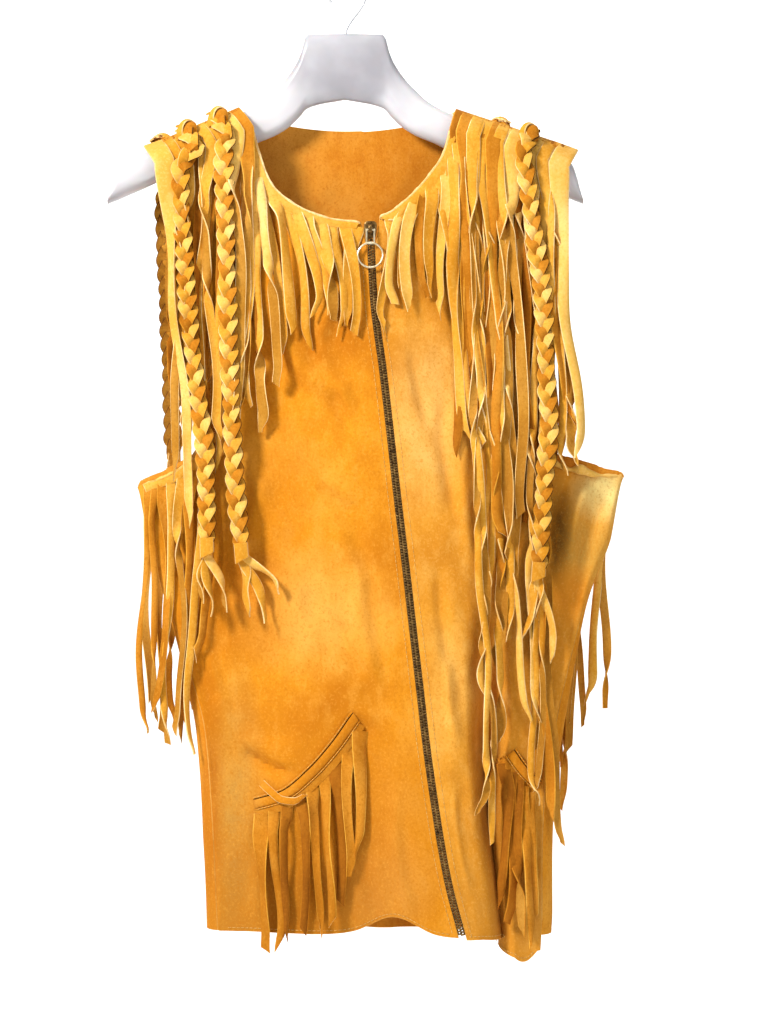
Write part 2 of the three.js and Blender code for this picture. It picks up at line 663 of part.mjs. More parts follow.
// One strip. route lists x and drop under the root, as [x, drop] pairs; the last pair is the tip.
function strip(panel, start, route, { layer = 0, width = 9, bow = 0, step = 100 } = {}) {
  const lift = (i) => (i === 0 ? ROOT_OUT : ROOT_OUT + LAYER * layer);
  const roll = start.u === undefined ? [] : overRoll(panel, start.u, (i) => (i < 2 ? ROOT_OUT : lift(i)));
  const from = start.u === undefined ? start : { x: panel.at(start.u, 1).x, drop: -panel.at(start.u, 1).z };
  const points = [[from.x, from.drop], ...route];
  const line = { x: curve(points.map((p) => p[1]), points.map((p) => p[0])) };
  const tip = points.at(-1)[1];
  const length = tip - from.drop;
  const count = Math.max(2, Math.round(length / step));
  const drops = spread(from.drop + 8, tip, count);
  const sway = (drop) => bow * Math.sin((Math.PI * (drop - from.drop)) / length);
  const places = [from, { x: line.x(from.drop + 8), drop: from.drop + 8 }, ...drops.map((drop) => ({ x: line.x(drop) + sway(drop), drop }))];
  const hung = hang(places, panel.sign, width, roll.length ? () => ROOT_OUT + LAYER * layer : lift, from.reach ?? 0);
  const stops = [...roll, ...hung];
  return ribbon(stops.map((stop, i) => {
    const tipShare = i === stops.length - 1 ? 0.6 : 1;
    return { ...stop, width: width * tipShare, thick: STRIP };
  }));
}

// A narrow band sewn inside an edge, which carries the roots of a fringe
function edgeBand(panel, u, rows) {
  const cover = coverFor(panel.sign);
  const grid = rows.map((row) => [BAND.inner, BAND.outer].map((inset) => {
    const place = insetPoint(panel, u, row, inset);
    return place.setY(panel.sign * Math.max(cover(place.x, -place.z), panel.sign * place.y));
  }));
  const turned = normalsOf(grid, false)[0][0].y * panel.sign < 0;
  return wall(grid, STRIP, turned, BAND.lie + STRIP);
}

function edgeRoot(panel, u, row) {
  const place = insetPoint(panel, u, row, (BAND.inner + BAND.outer) / 2);
  return { x: place.x, drop: -place.z, reach: panel.sign * place.y };
}

const neckRows = [1.05, 1.5, 2, 2.5, 3, 3.5, 4, 4.5, 5, 5.6];

// Neck strips: the row of the root on the neck's edge, then the tip's x and drop, the layer and the bow
const neckStrips = {
  right: [
    [1.15, -95.7, 440, 0, -2], [1.55, -87, 410, 1, -2], [1.95, -75.4, 434, 0, 0], [2.4, -66, 390, 1, 0],
    [2.9, -58, 362, 0, 0], [3.3, -46, 340, 1, 0], [3.65, -36, 355, 0, 0], [4, -27, 326, 1, 0],
    [4.35, -18.4, 320, 0, 0], [4.75, -9.2, 331, 1, 0], [5.1, -2, 340, 0, 0], [5.45, 6.4, 343, 1, -1],
  ],
  left: [
    [5.3, 31, 340, 0, 6], [4.8, 43, 316, 1, 2], [4.35, 55, 294, 0, 0], [4, 60, 320, 1, 0],
    [3.6, 71, 309, 0, 0], [3.2, 84, 303, 1, 0], [2.8, 97, 282, 0, 0], [2.4, 101, 323, 1, 0],
    [2, 109, 440, 0, 0], [1.7, 117, 446, 1, 0], [1.4, 124, 432, 0, 0], [1.12, 133, 440, 1, 0],
  ],
};

function neckFringe(side) {
  const panel = panels[side];
  const strips = neckStrips[side].map(([row, x, drop, layer, bow]) => (
    strip(panel, edgeRoot(panel, 0, row), [[x, drop]], { layer, bow, width: 8 })
  ));
  return fuse([edgeBand(panel, 0, neckRows), ...strips]);
}

// A plaited braid: a thick bar whose edges bulge at every lobe of the plait
const BRAID = { width: 16, thick: 7.5, lobe: 26 };

function braid(panel, u, route, layer) {
  const start = panel.at(u, 1);
  const points = [[start.x, -start.z], ...route];
  const line = curve(points.map((p) => p[1]), points.map((p) => p[0]));
  const tip = points.at(-1)[1];
  const cells = Math.round((tip + start.z) / (BRAID.lobe / 2));
  const drops = [-start.z, ...spread(-start.z, tip, cells)];
  const places = drops.map((drop) => ({ x: line(drop), drop }));
  const offset = () => ROOT_OUT + LAYER * layer;
  const roll = overRoll(panel, u, (i) => (i < 2 ? ROOT_OUT : offset()));
  const stops = [...roll, ...hang(places, panel.sign, BRAID.width, offset, 0)];
  const solid = ribbon(stops.map((stop, i) => {
    const waist = i % 2 === 0 ? 1 : 0.76;
    return { ...stop, width: BRAID.width * waist, thick: BRAID.thick * (i < 2 ? 0.4 : waist) };
  }));
  return { solid, reach: panel.sign * stops.at(-1).p.y - offset() };
}

// Shoulder strips: u of the root along the shoulder, the tip's x and drop, the layer and the bow
const shoulderStrips = {
  right: [
    [0.06, -91, 402, 2, 0], [0.17, -99, 425, 3, 0], [0.38, -113, 464, 2, 0], [0.47, -121, 440, 3, 0],
    [0.54, -133, 422, 2, 0], [0.76, -147, 450, 2, 0], [0.86, -152, 470, 3, 0], [0.97, -140, 514, 2, -6],
  ],
  left: [
    [0.12, 124, 440, 2, 0], [0.2, 127, 680, 3, 0], [0.29, 139, 432, 2, 0], [0.38, 147, 528, 3, 0],
    [0.47, 155, 550, 2, 0], [0.55, 164, 510, 3, 0], [0.74, 182, 450, 2, 0], [0.82, 194, 446, 3, 0],
    [0.9, 205, 420, 2, 0], [0.97, 218, 450, 3, 0],
  ],
  backRight: [
    [0.08, -104, 420, 1, 0], [0.2, -113, 455, 2, 0], [0.32, -122, 430, 1, 0], [0.44, -130, 470, 2, 0],
    [0.56, -139, 440, 1, 0], [0.68, -146, 425, 2, 0], [0.8, -153, 460, 1, 0],
  ],
  backLeft: [
    [0.1, 110, 430, 1, 0], [0.22, 121, 465, 2, 0], [0.34, 132, 440, 1, 0], [0.46, 143, 520, 2, 0],
    [0.58, 154, 450, 1, 0], [0.7, 166, 470, 2, 0], [0.82, 178, 435, 1, 0], [0.94, 191, 455, 2, 0],
  ],
};

// Braids: u of the root, the route below the shoulder, the layer, and the tips of the loose tails
const braids = {
  right: [
    { u: 0.64, route: [[-151, 192], [-146, 296], [-137, 392], [-129, 452], [-127, 541]], tails: [[-124, 600], [-108, 596], [-134, 588]] },
    { u: 0.27, route: [[-111, 176], [-109, 262], [-106, 378], [-102, 471], [-95, 546]], tails: [[-59, 579], [-71, 606], [-88, 600]] },
  ],
  left: [
    { u: 0.65, route: [[174, 246], [182, 306], [186, 396], [188, 424], [184, 471], [178, 563]], tails: [[179, 607], [193, 643], [166, 622]] },
  ],
  backRight: [
    { u: 0.95, route: [[-169, 226], [-165, 312], [-160, 424], [-160, 455]], tails: [[-160, 500], [-148, 505]] },
  ],
  backLeft: [
    { u: 0.4, route: [[138, 240], [141, 320], [140, 480]], tails: [[138, 535], [150, 528]] },
  ],
};
const BRAID_LAYER = { right: 4, left: 4, backRight: 3, backLeft: 3 };

function shoulderFringe(side) {
  const panel = panels[side];
  const columns = spread(0.01, 0.99, 5);
  const grid = [0.08, 0.36].map((row) => [0.01, ...columns].map((u) => panel.at(u, row)));
  const turned = normalsOf(grid, false)[0][0].z < 0;
  const band = wall(grid, STRIP, turned, BAND.lie + STRIP);
  const strips = shoulderStrips[side].map(([u, x, drop, layer, bow]) => (
    strip(panel, { u }, [[x, drop]], { layer, bow })
  ));
  const plaits = braids[side].flatMap(({ u, route, tails }) => {
    const [x, drop] = route.at(-1);
    const { solid, reach } = braid(panel, u, route, BRAID_LAYER[side]);
    const from = { x, drop: drop - 6, reach };
    const height = LAYER * BRAID_LAYER[side];
    return [solid, ...tails.map((tip) => tail(panel, from, tip, height))];
  });
  return fuse([band, ...strips, ...plaits]);
}

// A loose end below a braid
function tail(panel, from, [tipX, tipDrop], height) {
  const places = [0, 0.4, 0.75, 1].map((s) => ({ x: mix(from.x, tipX, smooth(s)), drop: mix(from.drop, tipDrop, s) }));
  const stops = hang(places, panel.sign, 8, () => ROOT_OUT + height + BRAID.thick / 3, from.reach);
  return ribbon(stops.map((stop, i) => ({ ...stop, width: [7, 8, 8, 3][i], thick: STRIP })));
}

// Armhole strips hang from a band inside the lower edge of each armhole: row of the root, tip x and drop, layer
const armholeStrips = {
  right: [
    [7.3, -133, 640, 0], [7.75, -141, 731, 1], [8.2, -149, 700, 0], [8.6, -158, 710, 1],
    [8.95, -166, 722, 0], [9.2, -173, 690, 1], [9.45, -181, 700, 0], [9.7, -189, 711, 1],
  ],
  left: [
    [7.3, 183, 763, 2], [7.7, 191, 790, 3], [8.1, 200, 814, 2], [8.5, 208, 786, 3], [8.8, 216, 700, 2],
  ],
  backRight: [
    [7.6, -142, 690, 0], [8.2, -152, 720, 1], [8.8, -163, 700, 0], [9.2, -174, 712, 1], [9.6, -186, 680, 0],
  ],
  backLeft: [
    [7.6, 184, 720, 0], [8.2, 196, 745, 1], [8.7, 210, 730, 0], [9, 221, 708, 1], [9.3, 232, 683, 0],
    [9.6, 244, 691, 1],
  ],
};

function armholeFringe(side) {
  const panel = panels[side];
  const strips = armholeStrips[side].map(([row, x, drop, layer]) => (
    strip(panel, edgeRoot(panel, 1, row), [[x, drop]], { layer, width: 8 })
  ));
  return fuse([edgeBand(panel, 1, [7.15, 7.6, 8, 8.3, 8.65, 9, 9.3, 9.55, 9.8]), ...strips]);
}

// Pockets: a curved welt sewn over the slit, and under its lower edge a band that carries the fringe.

const pockets = {
  right: {
    line: curve([-84, -57, -30, -9, 10], [777, 768, 746, 722, 695]),
    from: -84,
    to: 10,
    tips: [[-71, 911], [-61, 905], [-50, 896], [-38, 893], [-25, 894], [-14, 884], [-4, 866], [5, 842], [13, 820]],
  },
  left: {
    line: curve([152, 164, 178, 196], [728, 745, 759, 770]),
    from: 158,
    to: 179,
    tips: [[160, 879], [168, 908], [176, 862]],
  },
};
const WELT = { width: 13, thick: 2, lie: 1.2 };

// Places at a distance below the line of a pocket, with the y of the cloth there
function pocketRow(pocket, below, cells) {
  return [pocket.from, ...spread(pocket.from, pocket.to, cells)].map((x) => {
    const slope = pocket.line(x + 1) - pocket.line(x - 1);
    const along = Math.hypot(2, slope);
    const place = { x: x - (below * slope) / along, drop: pocket.line(x) + (below * 2) / along };
    return point(place.x, -covers.front(place.x, place.drop), place.drop);
  });
}

function pocketWelt(side) {
  const grid = [-WELT.width / 2, WELT.width / 2].map((below) => pocketRow(pockets[side], below, 6));
  return wall(grid, WELT.thick, normalsOf(grid, false)[0][0].y > 0, WELT.lie + WELT.thick);
}

function pocketFringe(side) {
  const pocket = pockets[side];
  const start = WELT.width / 2 + SEAM_GAP;
  const grid = [start, start + 6].map((below) => pocketRow(pocket, below, 6));
  const band = wall(grid, STRIP, normalsOf(grid, false)[0][0].y > 0, WELT.lie + STRIP);
  const roots = pocketRow(pocket, start + 4, pocket.tips.length * 2);
  const strips = pocket.tips.map(([x, drop], i) => {
    const root = roots[2 * i + 1];
    const start = { x: root.x, drop: -root.z, reach: -root.y };
    return strip(panels.right, start, [[x, drop]], { layer: i % 2, width: 8.5 });
  });
  return fuse([band, ...strips]);
}

// The short strip that lies across the welt of the right pocket
function pocketLoop() {
  const places = [[-80, 752], [-70, 757], [-58, 763], [-47, 765], [-38, 762]].map(([x, drop]) => ({ x, drop }));
  const stops = hang(places, -1, 6, () => WELT.lie + WELT.thick - LIE_GAP, 0);
  return ribbon(stops.map((stop, i) => ({ ...stop, width: i === stops.length - 1 ? 4 : 7, thick: STRIP })));
}

for (const side of ["right", "left"]) {
  addPiece(`neck_fringe_${side}`, neckFringe(side), colours.fringe);
  addPiece(`pocket_welt_${side}`, pocketWelt(side), colours.suede);
  addPiece(`pocket_fringe_${side}`, pocketFringe(side), colours.fringe);
}
const fringeSides = { front_right: "right", front_left: "left", back_right: "backRight", back_left: "backLeft" };
for (const [place, side] of Object.entries(fringeSides)) {
  addPiece(`shoulder_fringe_${place}`, shoulderFringe(side), colours.fringe);
  addPiece(`armhole_fringe_${place}`, armholeFringe(side), colours.fringe);
}
addPiece("pocket_loop_right", pocketLoop(), colours.suede);

export default group;
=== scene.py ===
# Fringed suede vest with a front zip, hanging on a moulded contour hanger.
# Lengths are in millimetres until a mesh is made. "drop" is the distance below the origin, so z = -drop.
# The front of the vest faces -Y. "right" and "left" are those of the vest as it is worn.

import math

import bmesh
import bpy
import numpy as np
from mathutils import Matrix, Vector


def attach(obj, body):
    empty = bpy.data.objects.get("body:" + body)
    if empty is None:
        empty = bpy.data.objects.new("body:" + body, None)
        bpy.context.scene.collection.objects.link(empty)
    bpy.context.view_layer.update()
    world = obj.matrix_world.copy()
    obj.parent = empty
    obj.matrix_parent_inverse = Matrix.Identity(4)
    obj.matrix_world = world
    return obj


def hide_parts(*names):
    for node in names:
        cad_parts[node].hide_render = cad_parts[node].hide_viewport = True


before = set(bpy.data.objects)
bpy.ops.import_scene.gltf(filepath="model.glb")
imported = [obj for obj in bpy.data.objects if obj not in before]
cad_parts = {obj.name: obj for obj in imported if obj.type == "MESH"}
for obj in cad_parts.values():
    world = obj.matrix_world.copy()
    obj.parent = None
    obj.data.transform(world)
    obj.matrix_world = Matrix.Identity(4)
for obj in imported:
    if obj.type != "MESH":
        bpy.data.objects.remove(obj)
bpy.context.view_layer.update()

MM = 0.001
# Edges with a wider turn than this, in degrees, are drawn sharp
SHARP = 50

# Small mathematics


def mix(a, b, t):
    return a + (b - a) * t


def smooth(t):
    t = np.clip(t, 0, 1)
    return t * t * (3 - 2 * t)


def unit(v):
    return v / np.maximum(np.linalg.norm(v, axis=-1, keepdims=True), 1e-9)


def bell(t):
    return np.exp(-(t**2))


# A smooth curve through the keys that never overshoots them
def curve(keys, values):
    keys = np.asarray(keys, float)
    values = np.asarray(values, float)
    step = np.diff(keys)
    slope = np.diff(values) / step
    tangent = np.zeros(len(keys))
    tangent[0], tangent[-1] = slope[0], slope[-1]
    for i in range(1, len(keys) - 1):
        if slope[i - 1] * slope[i] > 0:
            before = 2 * step[i] + step[i - 1]
            after = step[i] + 2 * step[i - 1]
            tangent[i] = (before + after) / (before / slope[i - 1] + after / slope[i])

    def read(key):
        at = np.clip(np.asarray(key, float), keys[0], keys[-1])
        i = np.clip(np.searchsorted(keys, at, side="right") - 1, 0, len(keys) - 2)
        s = (at - keys[i]) / step[i]
        rise = s * s * (3 - 2 * s)
        lead = s * (1 - s) * (1 - s) * step[i] * tangent[i]
        trail = s * s * (1 - s) * step[i] * tangent[i + 1]
        return mix(values[i], values[i + 1], rise) + lead - trail

    return read


def table(names, rows):
    columns = list(zip(*rows))
    return {name: curve(columns[0], columns[i + 1]) for i, name in enumerate(names.split())}


# The distance along a path at each of its stops
def distance(path):
    return np.concatenate([[0], np.cumsum(np.linalg.norm(np.diff(path, axis=0), axis=1))])


def points_at(x, y, drop):
    return np.stack(np.broadcast_arrays(x, y, -np.asarray(drop, float)), -1)


# Sizes shared with the cut of the vest

SUEDE = 1.8
SHOULDER_GAP = 0.5
SIDE_GAP = 0.9
STRIP = 1.4
ROLL_DEPTH = 20
ROLL_DROP = 18
UNDERARM = 10
HEM = 18
SIDE_FLAT = 12
BODY_SHARE = 0.88
# The row where the neck's edge starts to turn into the zip's edge, and over how many rows it does so
ZIP_FROM = 5.4
ZIP_BLEND = 0.6
# The row where the hem's curve starts
HEM_FROM = 15

zip_x = curve(
    [240, 312, 377, 432, 500, 551, 607, 671, 726, 772, 818, 855, 883, 900],
    [23, 26.7, 35, 41.4, 49, 55.2, 61.6, 69, 75.4, 81.9, 89.2, 96.6, 104, 108.4],
)


def zip_gap(drop):
    return 3.8 + 5 * bell((drop - 238) / 18)


# Rows of the fronts, from the shoulder seam (0) over the roll (1) to the underarm (10) and the hem (18)
ROWS = {
    "right": table("inner_x inner_drop inner_y outer_x outer_drop", [
        [0, -100, 133.2, 0, -180, 166], [1, -86, 152, -20, -168, 184], [2, -78, 178, -22, -155.5, 224.8],
        [3, -68, 203, -24, -142.6, 266], [4, -45, 223.5, -26, -135, 312],
        [5, -16, 235.2, -26, -130.6, 353.6], [6, 14.5, 241.5, -26, -128.8, 390.4],
        [7, 22, 290, -30, -130.6, 427], [8, 26, 340, -34, -140.8, 455], [9, 33, 390, -37, -165.6, 473],
        [10, 39, 440, -40, -194, 484], [11, 45, 500, -42, -179.4, 533], [12, 53, 570, -44, -159, 592.8],
        [13, 61, 640, -46, -140, 652.6], [14, 69, 710, -47.5, -126, 712.4], [15, 78, 775, -48, -121, 772],
        [16, 88, 835, -48, -118, 827], [17, 99, 880, -47, -116, 873.4], [18, 104, 898, -46, -115, 893.7],
    ]),
    "left": table("inner_x inner_drop inner_y outer_x outer_drop", [
        [0, 102, 134, 0, 210, 170], [1, 97, 152, -20, 200, 188], [2, 90, 176, -22, 190, 225],
        [3, 78, 194.5, -24, 182, 266], [4, 62, 213, -26, 177, 312], [5, 45, 227.5, -26, 175, 354],
        [6, 31.7, 238, -26, 176, 390], [7, 30, 290, -30, 180, 428], [8, 34, 340, -34, 192, 459],
        [9, 41, 390, -37, 222, 471], [10, 47, 440, -40, 260, 474], [11, 53, 500, -42, 242, 533],
        [12, 61, 570, -44, 217, 592], [13, 69, 640, -46, 202, 652], [14, 77, 710, -47.5, 190, 712],
        [15, 86, 775, -48, 181, 772], [16, 96, 835, -48, 179, 830], [17, 106, 880, -47, 179, 877],
        [18, 112, 900, -46, 178, 898],
    ]),
}
SIGN = {"right": -1, "left": 1}

# The turn round each side: its half depth, how far it stands out, and the angle of the side seam on it
side_turn = table("half bulge seam", [
    [0, 20, 0, 90], [6, 22, 0, 90], [7, 20, 0, 90], [8, 14, 0, 90], [9, 8, 0, 90], [10, 2.3, 2.3, 90],
    [11, 6, 5, 70], [12, 12, 8, 45], [13, 16, 11, 25], [14, 20, 13, 15], [18, 22, 14, 12],
])


# One of a side's measures at each row, following the round of the roll above the first row
def rolled(side, name, row):
    read = ROWS[side][name]
    top = mix(read(0), read(1), 1 - np.cos(math.pi / 2 * np.minimum(row, 1)))
    return np.where(row < 1, top, read(row))


# A point on the turn of a side at one row. share runs over a panel's part of it, from the body to its edge.
def side_at(row, share, side, back):
    sign = SIGN[side]
    edge = ROWS[side]["outer_x"](row)
    half, bulge = side_turn["half"](row), side_turn["bulge"](row)
    seam = np.radians(side_turn["seam"](row))
    gap = SIDE_GAP / 2 / np.maximum(np.hypot(half * np.sin(seam), bulge * np.cos(seam)), 1)
    turn = mix(math.pi, seam + gap, share) if back else mix(0, seam - gap, share)
    centre = edge - sign * np.where(np.abs(row - UNDERARM) < 0.01, bulge, 0)
    is_open = row < UNDERARM - 0.5
    x = np.where(is_open, edge - sign * SIDE_FLAT * (1 - share), centre + sign * bulge * np.sin(turn))
    y = np.where(is_open, half if back else -half, -half * np.cos(turn))
    return x, y


# Between the armhole and the first row under it, the turn runs straight from row to row
def side_point(row, share, side, back):
    row = np.asarray(row, float)
    near = (row > UNDERARM - 1) & (row < UNDERARM + 1)
    low = np.where(near, np.floor(row), row)
    high = np.where(near, np.ceil(row), row)
    (x_low, y_low), (x_high, y_high) = side_at(low, share, side, back), side_at(high, share, side, back)
    part = np.where(near, row - low, 0)
    return mix(x_low, x_high, part), mix(y_low, y_high, part)


# The deep fold down the left front: its middle and half width as u, and how far its sides close at the hem
FOLD = {
    "centre": 0.43, "half": 0.17, "deep": 48, "pinch": 3, "close": 9, "close_from": 720, "close_over": 120,
}
fold_depth = curve([590, 700, 900], [0, 40, FOLD["deep"]])
# The slow wave across the right front, and the rises and falls of the hem as x, half width and depth
WAVE = {"height": 5, "from": 480, "over": 400, "crest": 20, "length": 21}
HEM_CURVE = {"right": (45, 28, -18), "left": (165, 18, 24)}


def left_fold(u, drop):
    reach = np.clip((u - FOLD["centre"]) / FOLD["half"], -1, 1)
    depth = fold_depth(drop)
    pinch = mix(FOLD["pinch"], FOLD["close"], smooth((drop - FOLD["close_from"]) / FOLD["close_over"]))
    x = -pinch * (depth / FOLD["deep"]) * np.sin(math.pi * reach)
    return x, depth * np.cos(math.pi / 2 * reach) ** 2


def right_wave(x, drop):
    rise = smooth((drop - WAVE["from"]) / WAVE["over"])
    return WAVE["height"] * rise * np.cos((x - WAVE["crest"]) / WAVE["length"])


def hem_curve(side, x):
    centre, half, depth = HEM_CURVE[side]
    return depth * bell((x - centre) / half)


# A point on a front. u runs from the neck or zip edge (0) to the armhole or side seam (1).
def front_point(side, u, row):
    u, row = np.broadcast_arrays(np.asarray(u, float), np.asarray(row, float))
    rows, sign = ROWS[side], SIGN[side]
    roll = math.pi / 2 * np.minimum(row, 1)
    at = np.maximum(row, 1)

    inner_drop = rolled(side, "inner_drop", row)
    by_zip = zip_x(inner_drop) + sign * zip_gap(inner_drop)
    inner_x = mix(rolled(side, "inner_x", row), by_zip, smooth((row - ZIP_FROM) / ZIP_BLEND))
    shift = rolled(side, "outer_x", row) - rows["outer_x"](at)
    edge_x, edge_y = side_point(at, np.clip((u - BODY_SHARE) / (1 - BODY_SHARE), 0, 1), side, False)
    start_x, start_y = side_point(at, 0, side, False)
    edge_x, start_x = edge_x + shift, start_x + shift
    body = np.clip(u / BODY_SHARE, 0, 1)
    drop = mix(inner_drop, rolled(side, "outer_drop", row), u)
    hem = smooth((row - HEM_FROM) / (HEM - HEM_FROM)) * hem_curve(side, mix(inner_x, start_x, body))
    on_body = u < BODY_SHARE
    x = np.where(on_body, mix(inner_x, start_x, body), edge_x)
    y = np.where(on_body, mix(rows["inner_y"](at), start_y, smooth(body)), edge_y)
    y = np.where(row < 1, mix(-SHOULDER_GAP / 2, y, np.sin(roll)), y)
    if side == "left":
        fold_x, fold_y = left_fold(u, drop)
        below = row > UNDERARM
        x, y = x + fold_x * below, y + fold_y * below
    else:
        y = y + right_wave(x, drop) * smooth(4 * body * (1 - body)) * on_body * (row > 9)
    return points_at(x, y, drop + hem)


NECK_RIGHT = 0.186
NECK_LEFT = 0.738
NECK_DIP = 18
back_depth = curve([1, 6, 10, 18], [20, 22, 24, 24])


def back_wave(v, row):
    return 5 * smooth((row - 9) / 8) * np.sin(math.pi * v) * np.cos(v * 30 + 0.6)


# A point on the back. v runs from the right side (0) to the left (1); share, if given, turns round a side.
def back_point(v, row, share=None):
    v, row = np.broadcast_arrays(np.asarray(v, float), np.asarray(row, float))
    at = np.maximum(row, 1)
    roll = math.pi / 2 * np.minimum(row, 1)

    def shifted(side, part):
        x, y = side_point(at, part, side, True)
        return x + rolled(side, "outer_x", row) - ROWS[side]["outer_x"](at), y

    right_x, right_y = shifted("right", 0)
    left_x, left_y = shifted("left", 0)
    along = np.clip((v - NECK_RIGHT) / (NECK_LEFT - NECK_RIGHT), 0, 1)
    arch = np.maximum(0, np.sin(math.pi * along))
    lift, dip = np.minimum(1, 6 * arch) ** 0.7, NECK_DIP * arch**0.8
    x = mix(right_x, left_x, v)
    if share is not None:
        edge_x, edge_y = shifted("right" if np.all(v < 0.5) else "left", share)
        x = edge_x

    def of_side(name, row):
        return np.where(v < 0.5, rolled("right", name, row), rolled("left", name, row))

    inner_x = of_side("inner_x", row)
    outer_x = of_side("outer_x", row)
    passed_seam = np.clip((x - inner_x) / (outer_x - inner_x), 0, 1)
    seam_share = np.clip(np.where(v < 0.5, 1 - v / NECK_RIGHT, (v - NECK_LEFT) / (1 - NECK_LEFT)), 0, 1)
    seam = np.where(row <= 1, passed_seam, seam_share)
    top = mix(of_side("inner_drop", 0), of_side("outer_drop", 0), seam) + dip
    foot = top + ROLL_DROP

    def passed(side):
        outer = ROWS[side]["outer_drop"]
        return (outer(at) - outer(1)) / (outer(UNDERARM) - outer(1))

    outer_drops = ROWS["right"]["outer_drop"], ROWS["left"]["outer_drop"]
    under = mix(outer_drops[0](UNDERARM), outer_drops[1](UNDERARM), v)
    drop = mix(foot, under, mix(passed("right"), passed("left"), v))
    drop = np.where(row > UNDERARM, mix(outer_drops[0](row), outer_drops[1](row), v), drop)
    drop = np.where(row < 1, mix(top, foot, mix(1 - np.cos(roll), row, lift)), drop)
    rise = smooth(np.minimum(v, 1 - v) / 0.3)
    y = mix(mix(right_y, left_y, v), back_depth(at), rise) + back_wave(v, row)
    y = np.where(row < 1, mix(mix(SHOULDER_GAP / 2, ROLL_DEPTH, lift), y, np.sin(roll)), y)
    if share is not None:
        y = np.where(row < 1, mix(SHOULDER_GAP / 2, edge_y, np.sin(roll)), edge_y)
    return points_at(x, y, drop)


# Meshes


# The faces between closed rings of points, each ring numbered after the last
def ring_faces(count, size):
    row = np.arange(count - 1)[:, None] * size
    here, after = np.arange(size)[None, :], (np.arange(size)[None, :] + 1) % size
    faces = np.stack([row + here, row + after, row + after + size, row + here + size], -1)
    return faces.reshape(-1, 4).tolist()


# Points, faces and face materials of one piece, gathered from its parts
class Build:
    def __init__(self):
        self.points, self.faces, self.slots, self.count = [], [], [], 0

    def add(self, points, faces, slots):
        points = np.asarray(points, float).reshape(-1, 3)
        self.points.append(points)
        self.faces += [[i + self.count for i in face] for face in faces]
        self.slots += list(slots)
        self.count += len(points)

    # Closed rings of points joined into a bar with flat ends. slots has a material for each side of a ring.
    def loft(self, rings, slots, end_slot=0):
        rings = np.asarray(rings, float)
        count, size = rings.shape[:2]
        ends = [list(range(size))[::-1], [(count - 1) * size + i for i in range(size)]]
        side_slots = list(np.tile(np.broadcast_to(slots, size), count - 1))
        self.add(rings, ring_faces(count, size) + ends, side_slots + [end_slot, end_slot])

    def made(self, name, materials):
        mesh = bpy.data.meshes.new(name)
        mesh.from_pydata((np.concatenate(self.points) * MM).tolist(), [], self.faces)
        for material in materials:
            mesh.materials.append(material)
        mesh.polygons.foreach_set("material_index", np.array(self.slots, np.int32))
        mesh.shade_smooth()
        made = bpy.data.objects.new(name, mesh)
        bpy.context.scene.collection.objects.link(made)
        return made

    def piece(self, name, materials, nodes, slot, body="vest"):
        piece = self.made(name, materials)
        work = bmesh.new()
        work.from_mesh(piece.data)
        bmesh.ops.recalc_face_normals(work, faces=work.faces)
        work.to_mesh(piece.data)
        work.free()
        piece.data.set_sharp_from_angle(angle=math.radians(SHARP))
        if nodes:
            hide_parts(*nodes)
        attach(piece, body)
        return piece


def normals_of(grid, outward):
    along = np.gradient(grid, axis=1)
    down = np.gradient(grid, axis=0)
    normal = unit(np.cross(along, down))
    return normal * outward


# A thin shell. The grid is its outer face; the rim between the two faces is rounded.
def shell(build, grid, thickness, outward, slots=(0, 1, 2)):
    normal = normals_of(grid, outward)
    inner = grid - normal * thickness
    middle = grid - normal * thickness / 2
    swell = thickness * 0.28

    def rim(edge, inside):
        away = unit(middle[edge] - middle[inside])
        return middle[edge] + away * swell

    rows, columns = grid.shape[:2]
    right = rim(np.s_[:, -1], np.s_[:, -2])
    left = rim(np.s_[:, 0], np.s_[:, 1])
    rings = np.concatenate([grid, right[:, None], inner[:, ::-1], left[:, None]], 1)
    size = rings.shape[1]
    face, under, edge = slots
    side = [face] * (columns - 1) + [edge] * 2 + [under] * (columns - 1) + [edge] * 2
    faces = ring_faces(rows, size)
    face_slots = side * (rows - 1)
    points = [rings.reshape(-1, 3)]
    start = rows * size
    for at, beside in ((0, 1), (rows - 1, rows - 2)):
        rounded = rim(np.s_[at], np.s_[beside])
        points.append(rounded)
        base = at * size
        opposite = base + size - 2
        for c in range(columns - 1):
            faces.append([base + c, base + c + 1, start + c + 1, start + c])
            faces.append([start + c, start + c + 1, opposite - c - 1, opposite - c])
            face_slots += [edge, edge]
        faces.append([base + size - 1, base, start, opposite])
        faces.append([base + columns - 1, base + columns, base + columns + 1, start + columns - 1])
        face_slots += [edge, edge]
        start += columns
    build.add(np.concatenate(points), faces, face_slots)


# The form of the hang: slow swells of the cloth, and creases placed one by one

# Each swell: its length across and down, and its height
SWELLS = [(150, 210, 1.1), (90, 160, 0.7), (61, 97, 0.5), (37, 71, 0.3), (23, 39, 0.16), (14, 17, 0.08)]
SWELL_SEED = {"right": 3, "left": 5, "back": 8}
SWELL_FACTOR = 1.2
CREASE_FACTOR = 2


def swell(x, drop, seed):
    start = np.random.default_rng(seed).uniform(0, 2 * math.pi, (len(SWELLS), 2))
    total = 0
    for (across, down, height), (start_x, start_drop) in zip(SWELLS, start):
        wave = np.sin(x * 2 * math.pi / across + start_x) * np.sin(drop * 2 * math.pi / down + start_drop)
        total = total + height * wave
    return total


